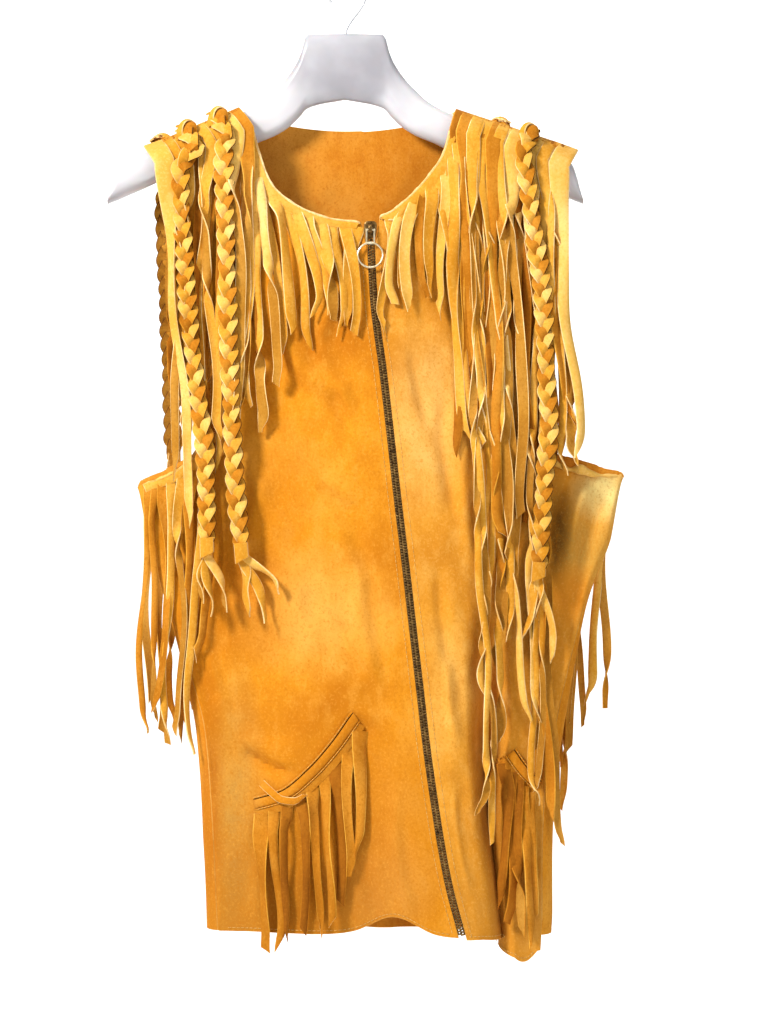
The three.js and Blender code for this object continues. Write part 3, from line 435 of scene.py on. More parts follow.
def creases(x, drop, lines):
    total = 0
    for x0, drop0, x1, drop1, width, depth in lines:
        along = np.array([x1 - x0, drop1 - drop0], float)
        length = np.hypot(*along)
        along /= length
        run = (x - x0) * along[0] + (drop - drop0) * along[1]
        bow = 0.06 * length * np.sin(math.pi * np.clip(run / length, 0, 1))
        off = (x - x0) * along[1] - (drop - drop0) * along[0] + bow
        fade = smooth(run / length * 4 + 0.3) * smooth((1 - run / length) * 3 + 0.3)
        beside = 0.5 * depth * bell((off - 1.9 * width) / (1.4 * width)) * fade
        total = total + depth * bell(off / width) * fade - beside
    return total


# Each crease: x and drop of its two ends, its width and its height; a negative height is a valley
CREASES = {
    "right": [
        (-14, 396, 24, 446, 6, -2.4), (-26, 350, 4, 404, 8, 1.7), (-24, 482, 8, 507, 5, -2.2),
        (-76, 338, -36, 404, 9, -1.8), (-89, 462, -46, 534, 9, 1.9), (-62, 330, -20, 396, 8, 1.4),
        (26, 568, 52, 638, 8, -1.7), (-48, 588, -18, 636, 8, 1.6), (-136, 646, -118, 682, 7, -2),
        (-60, 420, -30, 486, 8, -1.4), (-100, 560, -60, 640, 9, -1.5), (-6, 520, 22, 580, 8, 1.4),
        (-95, 728, -46, 748, 4.5, -2.8), (-100, 712, -50, 726, 6, 1.3), (29, 551, 62, 688, 8, -1.7),
        (12, 560, 40, 680, 7, 1.3), (-6, 610, 18, 660, 6, -1.4), (-40, 580, 8, 622, 8, -1.3),
        (-110, 585, -70, 610, 7, 1.4), (-120, 620, -96, 700, 7, -1.3), (64, 690, 78, 800, 6, -1.4),
        (50, 760, 62, 880, 7, 1.4), (-68, 800, -80, 890, 7, 1.2), (20, 820, 34, 886, 6, -1.3),
        (-120, 300, -96, 360, 7, 1.2), (0, 300, -24, 352, 6, 1.3), (-70, 470, -90, 560, 7, 1.1),
        (30, 700, 4, 690, 5, 1.2),
    ],
    "left": [
        (52, 360, 66, 430, 6, 1.3), (92, 400, 108, 520, 7, -1.6), (112, 430, 120, 560, 7, 1.5),
        (84, 560, 104, 660, 7, -1.4), (180, 500, 150, 590, 7, 2), (204, 478, 190, 566, 8, -3.4),
        (226, 480, 208, 552, 6, 2), (246, 486, 214, 600, 5, -1.5), (96, 640, 104, 720, 6, 1.3),
        (172, 780, 160, 880, 6, 1.4), (100, 760, 112, 850, 5, 1.3), (120, 260, 160, 330, 7, 1.3),
        (150, 400, 176, 450, 6, 1.4),
    ],
    "back": [
        (-90, 420, -20, 470, 7, 1.7), (120, 430, 40, 500, 7, -1.8), (-140, 520, -90, 600, 6, 1.6),
        (170, 530, 110, 620, 7, 1.7), (-60, 640, -40, 760, 8, 1.4), (60, 660, 66, 800, 8, -1.5),
        (-20, 330, 60, 360, 8, 1.2), (20, 780, 12, 890, 7, 1.4), (-110, 760, -96, 880, 7, -1.3),
        (140, 740, 130, 880, 7, 1.4), (-30, 540, 20, 566, 4, -1.6), (90, 330, 60, 400, 6, -1.2),
    ],
}
# Which way each grid's normals turn to face out of the vest
OUTWARD = {"right": 1, "left": -1, "back": 1}


# The same panel with its creases, which die away towards the seams, the zip and the edges
def creased(grid, side, outward, calm):
    x, drop = grid[..., 0], -grid[..., 2]
    lift = SWELL_FACTOR * swell(x, drop, SWELL_SEED[side]) + CREASE_FACTOR * creases(x, drop, CREASES[side])
    lift = lift * calm
    return grid + normals_of(grid, outward) * lift[..., None]


def panel_rows(fine):
    return np.concatenate([np.linspace(0, 1, 15)[:-1], np.linspace(1, HEM, fine)])


def front_grid(side):
    share = np.concatenate([np.linspace(0, BODY_SHARE, 76)[:-1], np.linspace(BODY_SHARE, 1, 14)])
    row = panel_rows(236)
    u, row = np.meshgrid(share, row)
    grid = front_point(side, u, row)
    calm = smooth((u - 0.085) / 0.08) * smooth((1 - u) / 0.14) * smooth((row - 1) / 1.2)
    return creased(grid, side, OUTWARD[side], calm)


def back_grid():
    v = np.concatenate([
        np.linspace(0, NECK_RIGHT, 22)[:-1], mix(NECK_RIGHT, NECK_LEFT, np.linspace(0, 1, 70)[:-1]),
        np.linspace(NECK_LEFT, 1, 26),
    ])
    row = panel_rows(220)
    turn = np.linspace(0, 1, 12)[1:]
    right = [back_point(np.zeros_like(row), row, share) for share in turn[::-1]]
    left = [back_point(np.ones_like(row), row, share) for share in turn]
    body = back_point(*np.meshgrid(v, row))
    grid = np.concatenate([np.stack(right, 1), body, np.stack(left, 1)], 1)
    across = np.linspace(0, 1, grid.shape[1])[None, :]
    calm = smooth(across / 0.12) * smooth((1 - across) / 0.12) * smooth((row[:, None] - 1) / 1.5)
    return creased(grid, "back", OUTWARD["back"], calm)


GRIDS = {"right": front_grid("right"), "left": front_grid("left"), "back": back_grid()}


# How far the cloth stands out at each place: a map of 1 mm cells seen from the front (-1) or the back (1)

MAP_X, MAP_DROP, MAP_SIZE = -260, 90, (560, 900)
# The reach where there is no cloth
NOWHERE = -100.0


class Cover:
    def __init__(self, grids, sign):
        self.sign = sign
        self.reach = np.full(MAP_SIZE, NOWHERE)
        for grid in grids:
            self.lay(grid)
        for _ in range(2):
            wide = self.reach
            for axis in (0, 1):
                wide = np.maximum(wide, np.maximum(np.roll(wide, 1, axis), np.roll(wide, -1, axis)))
            self.reach = np.where(self.reach == NOWHERE, wide, self.reach)

    def lay(self, grid):
        parts = np.linspace(0, 1, 7)[:-1]
        a, b, c, d = grid[:-1, :-1], grid[:-1, 1:], grid[1:, :-1], grid[1:, 1:]
        for s in parts:
            for t in parts:
                p = mix(mix(a, b, s), mix(c, d, s), t).reshape(-1, 3)
                np.maximum.at(self.reach, self.cell(p[:, 0], -p[:, 2]), self.sign * p[:, 1])

    def cell(self, x, drop):
        i = np.clip(np.rint(np.asarray(x) - MAP_X).astype(int), 0, MAP_SIZE[0] - 1)
        j = np.clip(np.rint(np.asarray(drop) - MAP_DROP).astype(int), 0, MAP_SIZE[1] - 1)
        return i, j

    def under(self, x, drop, width):
        reads = [self.reach[self.cell(x + side * width, drop)] for side in (-0.5, -0.25, 0, 0.25, 0.5)]
        return np.max(reads, axis=0)


COVERS = {-1: Cover([GRIDS["right"], GRIDS["left"]], -1), 1: Cover([GRIDS["back"]], 1)}


# The back seen as two halves, u from the middle of the neck (0) to the armhole (1)
def back_half(side):
    edge, neck = (0, NECK_RIGHT) if side == "right" else (1, NECK_LEFT)

    def at(u, row):
        if u <= BODY_SHARE:
            return back_point(mix(neck, edge, u / BODY_SHARE), row)
        return back_point(edge, row, (u - BODY_SHARE) / (1 - BODY_SHARE))

    return at


# Each panel: a point for u and row, and the way it faces
PANELS = {
    "front_right": (lambda u, row: front_point("right", u, row), -1),
    "front_left": (lambda u, row: front_point("left", u, row), -1),
    "back_right": (back_half("right"), 1),
    "back_left": (back_half("left"), 1),
}


# A point in from the edge of a panel, seen flat. The neck's edge is at u 0 and the armhole's at 1.
def inset_point(place, u, row, inset):
    at = PANELS[place][0]
    edge, near = at(u, row), at(u, row + 0.05)
    along = near - at(u, row - 0.05)
    inside = unit(np.array([-along[2], 0, along[0]]))
    body = np.array([edge[0] * (0.6 if u == 0 else -0.4), 0, -60])
    return edge + inside * inset * (1 if inside @ body > 0 else -1)


# Cut strips

# Across a strip: the share of its half width and the share of its half thickness
SECTION = np.array([
    [-0.89, 1], [-0.5, 1], [0, 1], [0.5, 1], [0.89, 1], [1, 0], [0.89, -1], [0, -1], [-0.89, -1], [-1, 0],
])


# Materials of a strip's sides, from that of its face. A plaited strip has one edge of painted shadow, deep
# in the plait.
def section_slots(face, dark_edge=False):
    edge = {4: 0, 6: 4}.get(face, 1)
    other = 3 if dark_edge else edge
    return [face, face, face, face, edge, edge, 2, 2, other, other]


# Faces to draw from: 0 is plain, 4 deep orange, 5 pale and 6 darker still, with painted shade
STRIP_FACES = [0, 0, 0, 4, 4, 5]
DEEP_FACES = [4, 4, 0]
SHADED_FACES = [6, 6, 4]
POCKET_FACES = [4, 6, 4]
NECK_FACES = [[4, 0, 0], [5, 5, 0]]


# A ribbon along a path. out is the way out of the cloth, and twist turns each section about the path.
def ribbon(build, path, out, width, thick, twist=0, cup=0, slant=0, face=0, dark_edge=False):
    path = np.asarray(path, float)
    count = len(path)
    along = unit(np.gradient(path, axis=0))
    across = unit(np.cross(along, np.broadcast_to(out, path.shape)))
    facing = np.cross(across, along)
    flip = np.sign(np.sum(facing * out, -1, keepdims=True))
    facing = facing * np.where(flip == 0, 1, flip)
    turn = np.broadcast_to(twist, count)[:, None]
    side = across * np.cos(turn) + facing * np.sin(turn)
    front = facing * np.cos(turn) - across * np.sin(turn)
    width = np.broadcast_to(width, count)[:, None, None]
    thick = np.broadcast_to(thick, count)[:, None, None]
    cup = np.broadcast_to(cup, count)[:, None, None]
    share, lift = SECTION[None, :, 0, None], SECTION[None, :, 1, None]
    ring = path[:, None] + side[:, None] * share * width / 2
    ring = ring + front[:, None] * (lift * thick / 2 + cup * (0.5 - share**2))
    tip = smooth((np.arange(count) - count + 4) / 3)
    ring = ring + along[:, None] * (share * slant * tip[:, None, None])
    build.loft(ring, section_slots(face, dark_edge), 1)


# Along a strip, the distance from stop to stop
STRIP_STEP = 4
# How far a strip lies off the shoulder, off the band at its root, and one layer over the next
EDGE_RISE = 0.9
ROOT_RISE = 0.05
LAYER = 2.2
# The last part of a strip, which curls aside
CURL_LENGTH = 26


# Stops over the roll of a shoulder, from the band to the first row of the body
def over_roll(place, u, lift, start=EDGE_RISE):
    at = PANELS[place][0]
    rows = np.linspace(0.1, 1, 9)
    path = np.array([at(u, row) for row in rows])
    beside = np.array([at(min(u + 0.02, 1), row) - at(max(u - 0.02, 0), row) for row in rows])
    normal = unit(np.cross(beside, np.gradient(path, axis=0)))
    normal = normal * np.where(normal[:1, 2:] < 0, -1, 1)
    rise = mix(start, lift, smooth((rows - 0.4) / 0.6))
    return path + normal * rise[:, None], normal


# The way down from the root, plumb past the cloth: x and drop as given, y as far out as the cloth reaches
def hang(place, x, drop, width, offset, reach=NOWHERE):
    sign = PANELS[place][1]
    under = np.maximum.accumulate(np.maximum(COVERS[sign].under(x, drop, width), reach))
    if len(under) > 8:
        soft = np.convolve(np.pad(under, 3, mode="edge"), np.ones(7) / 7, mode="valid")
        under = np.maximum(soft, under - 0.5)
    return points_at(x, sign * (under + offset), drop)


# How loosely each strip hangs: the bounds of its belly, how far its tip stands off, its share of the full
# width, the length and width of its point, and its hollow
LOOSE = {
    "belly": (0, 2.4), "tip_off": (0, 2), "width": (0.8, 1.2), "point": (14, 34), "tip_width": (0.3, 0.95),
    "cup": (0.6, 1.8),
}


# One strip. The root is a shoulder's u, or the x, drop and reach of a place; the tip is an x and a drop.
def strip(build, place, root, tip, rng, layer, width, bow, curl, face=STRIP_FACES, often=0.26, flare=1.22):
    sign = PANELS[place][1]
    lift = EDGE_RISE + LAYER * layer
    rolled = isinstance(root, float)
    start = PANELS[place][0](root, 1)[[0, 2]] * [1, -1] if rolled else np.array(root[:2])
    reach = NOWHERE if rolled else root[2]
    length = tip[1] - start[1]
    drop = np.linspace(start[1], tip[1], max(8, round(length / STRIP_STEP)))
    down = (drop - start[1]) / length
    lean = mix(start[0], tip[0], smooth(down) * 0.45 + down * 0.55)
    x = lean + bow * np.sin(math.pi * down) + sway(down, length, rng)
    x = x + curl * smooth((down - 1 + CURL_LENGTH / length) * length / CURL_LENGTH) ** 2
    twist = twists(down, length, rng, often)
    offset = np.full(len(drop), lift) if rolled else mix(ROOT_RISE, lift, smooth((drop - start[1] - 4) / 14))
    offset = offset + STRIP / 2 + np.abs(np.sin(twist)) * width * 0.42
    offset = offset + rng.uniform(*LOOSE["belly"]) * np.sin(math.pi * down)
    offset = offset + rng.uniform(*LOOSE["tip_off"]) * down
    path = hang(place, x, drop, width, offset, reach)
    out = np.tile([0.0, sign, 0.0], (len(path), 1))
    if rolled:
        top, normal = over_roll(place, root, lift)
        path = np.concatenate([top[:-1] + normal[:-1] * STRIP / 2, path])
        out = np.concatenate([normal[:-1], out])
        twist = np.concatenate([np.zeros(len(top) - 1), twist])
        down = np.concatenate([np.zeros(len(top) - 1), down])
    narrowing = smooth(down * length / 90 * 0.6 + down * 0.8)
    widths = width * rng.uniform(*LOOSE["width"]) * mix(flare, 0.88, narrowing)
    widths = widths * (1 + 0.08 * np.sin(down * length / 31 + rng.uniform(0, 6)))
    point = rng.uniform(*LOOSE["point"])
    tip_width = rng.uniform(*LOOSE["tip_width"])
    widths = widths * mix(1, tip_width, smooth((down - 1 + point / length) * length / point))
    cup = rng.uniform(*LOOSE["cup"]) * rng.choice([-1, 1, 1]) * smooth(down * 6)
    chosen = int(rng.choice(face))
    ribbon(build, path, out, widths, STRIP, twist, cup, rng.uniform(-1, 1) * width * 0.9, chosen)


# A loose wander of a strip from side to side, still at its root: the height and length of each wave
SWAY = {"slow": 3, "slow_length": 41, "quick": 1.1, "quick_length": 19, "drift": (0, 5), "full_at": 150}


def sway(down, length, rng):
    height = min(1.0, length / SWAY["full_at"])
    a, b, c = rng.uniform(0, 2 * math.pi, 3)
    run = down * length
    wave = np.sin(run / SWAY["slow_length"] + a) * SWAY["slow"]
    wave = wave + np.sin(run / SWAY["quick_length"] + b) * SWAY["quick"]
    wave = wave + np.sin(down * 3 + c) * rng.uniform(*SWAY["drift"])
    return wave * height * smooth(down * 5)


# The turn of a strip about itself: a tilt that drifts, with half twists here and there
TWIST = {"tilt": 24, "wobble": 12, "first": (30, 90), "next": (58, 110), "long": 46, "last": 22}


def twists(down, length, rng, often):
    run = down * length
    drift = rng.uniform(-TWIST["tilt"], TWIST["tilt"]) + TWIST["tilt"] * np.sin(run / 47 + rng.uniform(0, 6))
    drift = drift + TWIST["wobble"] * np.sin(run / 19 + rng.uniform(0, 6))
    turn = np.radians(drift) * smooth(down * 6)
    at = rng.uniform(*TWIST["first"])
    way = rng.choice([-1, 1])
    while at < length - TWIST["last"]:
        if rng.uniform() < often:
            turn = turn + way * math.pi * smooth((run - at) / TWIST["long"])
        at += rng.uniform(*TWIST["next"])
    return turn


# A band sewn inside an edge, which carries a fringe: narrow where the edge is level, wide where it is steep
BAND = {"lie": 0.6, "proud": 0.5, "inner": 1.5, "outer": 7.5, "steep": 7.5}


def steepness(place, u, row):
    at = PANELS[place][0]
    along = at(u, row + 0.05) - at(u, row - 0.05)
    return abs(along[2]) / np.hypot(along[0], along[2])


def band_reach(place, u, row):
    return BAND["outer"] + BAND["steep"] * steepness(place, u, row) ** 2


def edge_band(build, place, u, rows):
    sign = PANELS[place][1]
    grid = []
    for row in np.linspace(rows[0], rows[1], 110):
        line = []
        for inset in np.linspace(BAND["inner"], band_reach(place, u, row), 7):
            p = inset_point(place, u, row, inset)
            p[1] = sign * max(COVERS[sign].under(p[0], -p[2], 1), sign * p[1])
            line.append(p)
        grid.append(line)
    lay_band(build, np.array(grid), sign)


# A band of cloth laid on the vest, its middle a little proud of its stitched edges
def lay_band(build, grid, sign, slots=(0, 2, 1)):
    outward = 1 if normals_of(grid, 1)[len(grid) // 2, 0, 1] * sign > 0 else -1
    across = np.linspace(-1, 1, grid.shape[1])
    normal = normals_of(grid, outward)
    lifted = grid + normal * (BAND["lie"] + STRIP + BAND["proud"] * (1 - across**2))[None, :, None]
    shell(build, lifted, STRIP, outward, slots)


def edge_root(place, u, row):
    p = inset_point(place, u, row, (BAND["inner"] + band_reach(place, u, row)) / 2)
    return [p[0], -p[2], PANELS[place][1] * p[1]]


# Neck strips: the row of the root on the neck's edge, then the tip's x and drop, the layer and the bow
NECK_STRIPS = {
    "right": [
        [1.15, -95.7, 440, 0, -2], [1.55, -87, 410, 1, -2], [1.95, -75.4, 434, 0, 0], [2.4, -66, 390, 1, 0],
        [2.9, -58, 362, 0, 0], [3.3, -46, 340, 1, 0], [3.65, -36, 355, 0, 0], [4, -27, 326, 1, 0],
        [4.35, -18.4, 320, 0, 0], [4.75, -9.2, 331, 1, 0], [5.1, -2, 340, 0, 0], [5.45, 6.4, 343, 1, -1],
        [5.75, 3, 336, 0, -7],
    ],
    "left": [
        [5.3, 31, 340, 0, 6], [4.8, 43, 316, 1, 2], [4.35, 55, 294, 0, 0], [4, 60, 320, 1, 0],
        [3.6, 71, 309, 0, 0], [3.2, 84, 303, 1, 0], [2.8, 97, 282, 0, 0], [2.4, 101, 323, 1, 0],
        [2, 109, 440, 0, 0], [1.7, 117, 446, 1, 0], [1.4, 124, 432, 0, 0], [1.12, 133, 440, 1, 0],
    ],
}

# Shoulder strips: u of the root along the shoulder, the tip's x and drop, the layer and the bow
SHOULDER_STRIPS = {
    "front_right": [
        [0.06, -91, 402, 2, 0], [0.17, -99, 425, 3, 0], [0.38, -113, 464, 2, 0], [0.47, -121, 440, 3, 0],
        [0.54, -133, 422, 2, 0], [0.76, -147, 450, 2, 0], [0.86, -152, 470, 3, 0],
        [0.985, -141, 514, 4, -3],
    ],
    "front_left": [
        [0.12, 124, 440, 2, 0], [0.2, 127, 680, 3, 0], [0.29, 139, 432, 2, 0], [0.38, 147, 528, 3, 0],
        [0.47, 155, 550, 2, 0], [0.55, 164, 510, 3, 0], [0.74, 182, 450, 2, 0], [0.82, 194, 446, 3, 0],
        [0.9, 205, 420, 2, 0], [0.97, 214, 450, 3, 0], [0.8, 192, 458, 1, 0], [0.86, 198, 470, 2, 0],
        [0.93, 206, 462, 1, 2], [0.22, 131, 784, 3, -4], [0.3, 137, 812, 2, -3], [0.15, 133, 588, 1, 0],
        [0.25, 143, 643, 2, 3], [0.33, 147, 721, 1, -2], [0.42, 156, 625, 3, 2], [0.5, 165, 700, 2, -3],
        [0.6, 172, 726, 1, 0], [0.68, 180, 772, 2, 2],
    ],
    "back_right": [
        [0.08, -104, 420, 1, 0], [0.2, -113, 455, 2, 0], [0.32, -122, 430, 1, 0], [0.44, -130, 470, 2, 0],
        [0.56, -139, 440, 1, 0], [0.68, -146, 425, 2, 0], [0.8, -153, 460, 1, 0],
    ],
    "back_left": [
        [0.1, 110, 430, 1, 0], [0.22, 121, 465, 2, 0], [0.34, 132, 440, 1, 0], [0.46, 143, 520, 2, 0],
        [0.58, 154, 450, 1, 0], [0.7, 166, 470, 2, 0], [0.82, 178, 435, 1, 0], [0.94, 191, 455, 2, 0],
    ],
}

# Braids: u of the root, the route below the shoulder, and the tips of the loose tails
BRAIDS = {
    "front_right": [
        [0.64, [[-151, 192], [-146, 296], [-137, 392], [-129, 452], [-127, 541]],
         [[-124, 600], [-108, 596], [-134, 588]]],
        [0.27, [[-111, 176], [-109, 262], [-106, 378], [-102, 471], [-95, 546]],
         [[-59, 579], [-71, 606], [-88, 600]]],
    ],
    "front_left": [
        [0.65, [[174, 246], [182, 306], [186, 396], [188, 424], [184, 471], [178, 563]],
         [[179, 607], [193, 643], [166, 622]]],
    ],
    "back_right": [
        [0.95, [[-172, 226], [-167, 312], [-163, 424], [-162, 455]], [[-160, 500], [-148, 505]]],
    ],
    "back_left": [
        [0.4, [[138, 240], [141, 320], [140, 480]], [[138, 535], [150, 528]]],
    ],
}
# A row of strips under those: the first and last u, how many, and the highest and lowest tip
UNDER_STRIPS = {
    "front_right": [0.04, 0.84, 8, 350, 470], "front_left": [0.05, 0.97, 11, 360, 520],
    "back_right": [0.04, 0.97, 8, 380, 460], "back_left": [0.06, 0.97, 9, 380, 480],
}
BRAID_LAYER = {"front_right": 4, "front_left": 4, "back_right": 3, "back_left": 3}
BRAID = {"width": 18.4, "thick": 8, "period": 42, "strand": 9.4, "crown": 7}

# Armhole strips: the row of the root on the lower edge of the armhole, the tip's x and drop, and the layer
ARMHOLE_STRIPS = {
    "front_right": [
        [7.3, -133, 640, 0], [7.75, -141, 731, 1], [8.2, -149, 700, 0], [8.6, -158, 710, 1],
        [8.95, -166, 722, 0], [9.2, -173, 690, 1], [9.45, -181, 700, 0], [9.7, -189, 711, 1],
    ],
    "front_left": [
        [7.3, 183, 763, 2], [7.5, 188, 790, 3], [7.7, 194, 814, 2],
    ],
    "back_right": [
        [7.6, -142, 690, 0], [8.2, -152, 720, 1], [8.8, -163, 700, 0], [9.2, -174, 712, 1],
        [9.6, -186, 680, 0],
    ],
    "back_left": [
        [7.6, 184, 720, 0], [8.2, 196, 745, 1], [8.7, 210, 730, 0], [9, 221, 708, 1], [9.3, 232, 683, 0],
        [9.6, 244, 691, 1], [8.45, 203, 786, 1], [8.85, 215, 700, 0],
    ],
}


# The rows between which the neck's edge and the armhole's edge carry a band
NECK_ROWS = (1.05, 5.94)
ARMHOLE_ROWS = (7.15, 9.8)
ARMHOLE_ROWS_LEFT = (7.15, 8)


def neck_fringe(side, rng):
    build, place = Build(), f"front_{side}"
    edge_band(build, place, 0, NECK_ROWS)
    for row, x, drop, layer, bow in NECK_STRIPS[side]:
        tip = (x + rng.uniform(-3, 5) * -SIGN[side], drop)
        flare = mix(1.4, 1.0, steepness(place, 0, row))
        bow = bow - SIGN[side] * 6 * smooth((row - 2) / 1.5)
        root = edge_root(place, 0, row)
        curl = rng.uniform(-7, 7)
        strip(build, place, root, tip, rng, layer, 10.4, bow, curl, NECK_FACES[layer], 0.1, flare)
    rolled_edge(build, place, 0, NECK_ROWS, 0.8, 1)
    return build


# A cut edge curled over on itself, uneven in its thickness
def rolled_edge(build, place, u, ends, thick, slot, curl=None):
    sign = PANELS[place][1]
    rows = np.linspace(*ends, 90)
    radius = thick * (1 + 0.3 * np.sin(rows * 7 + u) + 0.2 * np.sin(rows * 17 + 2 * u))
    path = np.array([inset_point(place, u, row, 0.6) for row in rows])
    if curl:
        bulge = bell((path[:, 0] - curl["x"]) / curl["half"])
        radius = radius + curl["thick"] * bulge
        path[:, 2] += curl["rise"] * bulge
    path[:, 1] += sign * (radius * 0.6)
    radius = radius * smooth((rows - ends[0]) / 0.15) * smooth((ends[1] - rows) / 0.15) + 0.2
    bar(build, path, radius, 8, slot)


# Where the edge of the left armhole curls over further
EAR_CURL = {"x": 218, "half": 8, "thick": 2.4, "rise": 3}


def armhole_fringe(place, rng):
    build, ear = Build(), place == "front_left"
    edge_band(build, place, 1, ARMHOLE_ROWS_LEFT if ear else ARMHOLE_ROWS)
    for row, x, drop, layer in ARMHOLE_STRIPS[place]:
        root, curl = edge_root(place, 1, row), rng.uniform(-6, 6)
        strip(build, place, root, (x, drop), rng, layer, 8.2, 0, curl, DEEP_FACES)
    rolled_edge(build, place, 1, (7, 9.9), 1.9 if ear else 1.3, 5, EAR_CURL if ear else None)
    return build


# The middle line of a braid over the roll and down its route, with the way out of the cloth
def braid_line(place, u, route, height):
    at, sign = PANELS[place]
    start = at(u, 1)
    keys = [[start[0], -start[2]], *route]
    line = curve([k[1] for k in keys], [k[0] for k in keys])
    drop = np.arange(keys[0][1], keys[-1][1], 1.5)
    path = hang(place, line(drop), drop, BRAID["width"], np.full(len(drop), height))
    top, normal = over_roll(place, u, height, BRAID["crown"])
    out = np.concatenate([normal[:-1], np.tile([0.0, sign, 0.0], (len(path), 1))])
    return np.concatenate([top[:-1], path]), out


# Three ribbons plaited over one another, a wrapped fold at the foot, and the loose tails below it
def braid(build, place, u, route, tails, rng):
    height = EDGE_RISE + LAYER * BRAID_LAYER[place] + BRAID["thick"] / 2
    path, out = braid_line(place, u, route, height)
    along = unit(np.gradient(path, axis=0))
    across = unit(np.cross(along, out))
    run = distance(path)
    reach = (BRAID["width"] - BRAID["strand"]) / 2 + 0.9
    pinch = 1 - 0.35 * smooth((run - run[-1] + 14) / 14)
    pinch = pinch * mix(0.8, 1, smooth(run / 24))
    pinch = pinch * (1 + 0.06 * np.sin(run / 23 + u * 40) + 0.05 * np.sin(run / 9.7))
    for strand in range(3):
        turn = 2 * math.pi * (run / BRAID["period"] + strand / 3) + 0.3 * np.sin(run / 31 + u * 60)
        side = reach * 2 / math.pi * np.arcsin(0.96 * np.sin(turn)) * pinch
        lift = (1.2 - BRAID["thick"] / 2) * np.sin(2 * turn) * mix(0.35, 1, smooth(run / 30))
        middle = path + across * side[:, None] + out * lift[:, None]
        lean = np.radians(-20) * np.cos(turn)
        width = BRAID["strand"] * (1 + 0.13 * np.sin(run / 7 + 2 * strand)) * pinch
        ribbon(build, middle, out, width, 1.7, lean, 0.7, face=[0, 4, 5][strand], dark_edge=True)
    foot = path[-1]
    knot = np.array([foot + along[-1] * s for s in np.linspace(-9, 7, 9)])
    wide, thick = BRAID["width"] * 0.72, BRAID["thick"] * 0.8
    ribbon(build, knot + out[-1] * 1.2, out[-1], wide, thick, 0, 1.2, slant=3)
    for x, drop in tails:
        start = [foot[0], -foot[2], PANELS[place][1] * foot[1] - height]
        tail_strip(build, place, start, (x, drop), rng, height)


# The wrapped cap in which a braid starts: two arches of strip over the crown of the shoulder, crossing
# Each arch: its reach, height, strip width, lean and face
CAP_ARCHES = [(9, 11, 13, 0.3, 4), (11, 13.2, 8, -0.75, 0)]


def braid_cap(build, place, u):
    at, sign = PANELS[place]
    crown = at(u, 0.5) + [0, 0, 2]
    turn = np.linspace(-0.12, 1.12, 22) * math.pi
    for reach, high, width, lean, face in CAP_ARCHES:
        across = np.cos(turn) * reach
        way = np.array([math.sin(lean), sign * math.cos(lean), 0])
        arch = across[:, None] * way + np.stack([0 * turn, 0 * turn, high * np.sin(turn)], 1)
        out = np.cos(turn)[:, None] * way + np.stack([0 * turn, 0 * turn, np.sin(turn)], 1)
        ribbon(build, crown + arch, unit(out), width, 1.7, 0.2 * np.sin(turn * 2), 1.2, face=face)


# A loose end below a braid, which swings out and curls at its tip
def tail_strip(build, place, start, tip, rng, height):
    length = max(abs(tip[1] - start[1]), 20)
    down = np.linspace(0, 1, max(10, round(length / 3)))
    drop = mix(start[1] - 2, tip[1], down)
    x = mix(start[0], tip[0], smooth(down)) + 2.4 * np.sin(down * 7 + rng.uniform(0, 6)) * smooth(down * 3)
    twist = rng.choice([-1, 1]) * mix(0, rng.uniform(0.8, 2.6), smooth(down)) + 0.3 * np.sin(down * 9)
    offset = np.full(len(down), height) - BRAID["thick"] / 6
    path = hang(place, x, drop, 8, offset, start[2])
    width = 9.4 * mix(1, 0.65, smooth((down - 0.7) / 0.3))
    out = np.array([0.0, PANELS[place][1], 0.0])
    ribbon(build, path, out, width, STRIP, twist, 0.8, 4, int(rng.choice([0, 5])))


# A strip that ends lower than this is narrower and twists more
LONG_TIP = 560
# A strip with its root past this u is wide and pale
LAST_ROOT = 0.96


def shoulder_fringe(place, rng):
    build = Build()
    at = PANELS[place][0]
    share = np.linspace(0.01, 0.99, 46)
    band = np.array([[at(u, row) for u in share] for row in np.linspace(0.06, 0.4, 7)])
    outward = 1 if normals_of(band, 1)[2, 20, 2] > 0 else -1
    lifted = band + normals_of(band, outward) * (BAND["lie"] + STRIP)
    shell(build, lifted, STRIP, outward, (0, 2, 1))
    first, last, count, high, low = UNDER_STRIPS[place]
    for i, u in enumerate(np.linspace(first, last, count)):
        x = at(u, 1)[0] + rng.uniform(-4, 4)
        tip = (x, rng.uniform(high, low))
        strip(build, place, float(u), tip, rng, i % 2, 9.5, 0, rng.uniform(-6, 6), SHADED_FACES)
    for u, x, drop, layer, bow in SHOULDER_STRIPS[place]:
        width, often = (8.6, 0.7) if drop > LONG_TIP else (10.5, 0.26)
        flare, face = (1.75, [5]) if u > LAST_ROOT else (1.22, STRIP_FACES)
        strip(build, place, u, (x, drop), rng, layer, width, bow, rng.uniform(-8, 8), face, often, flare)
    for u, route, tails in BRAIDS[place]:
        braid(build, place, u, route, tails, rng)
        braid_cap(build, place, u)
    return build


# Pockets: a welt over the slit along a curve, and a band under it that carries a fringe

POCKETS = {
    "right": {
        "line": curve([-84, -57, -30, -9, 10], [777, 768, 746, 722, 695]), "from": -84, "to": 10,
        "tips": [
            [-71, 911], [-61, 905], [-50, 896], [-38, 893], [-25, 894], [-14, 884], [-4, 866], [5, 842],
            [13, 820],
        ],
    },
    "left": {
        "line": curve([152, 164, 178, 196], [728, 745, 759, 770]), "from": 153, "to": 179,
        "tips": [[142, 866], [151, 886], [160, 893], [169, 905], [177, 880]],
    },
}
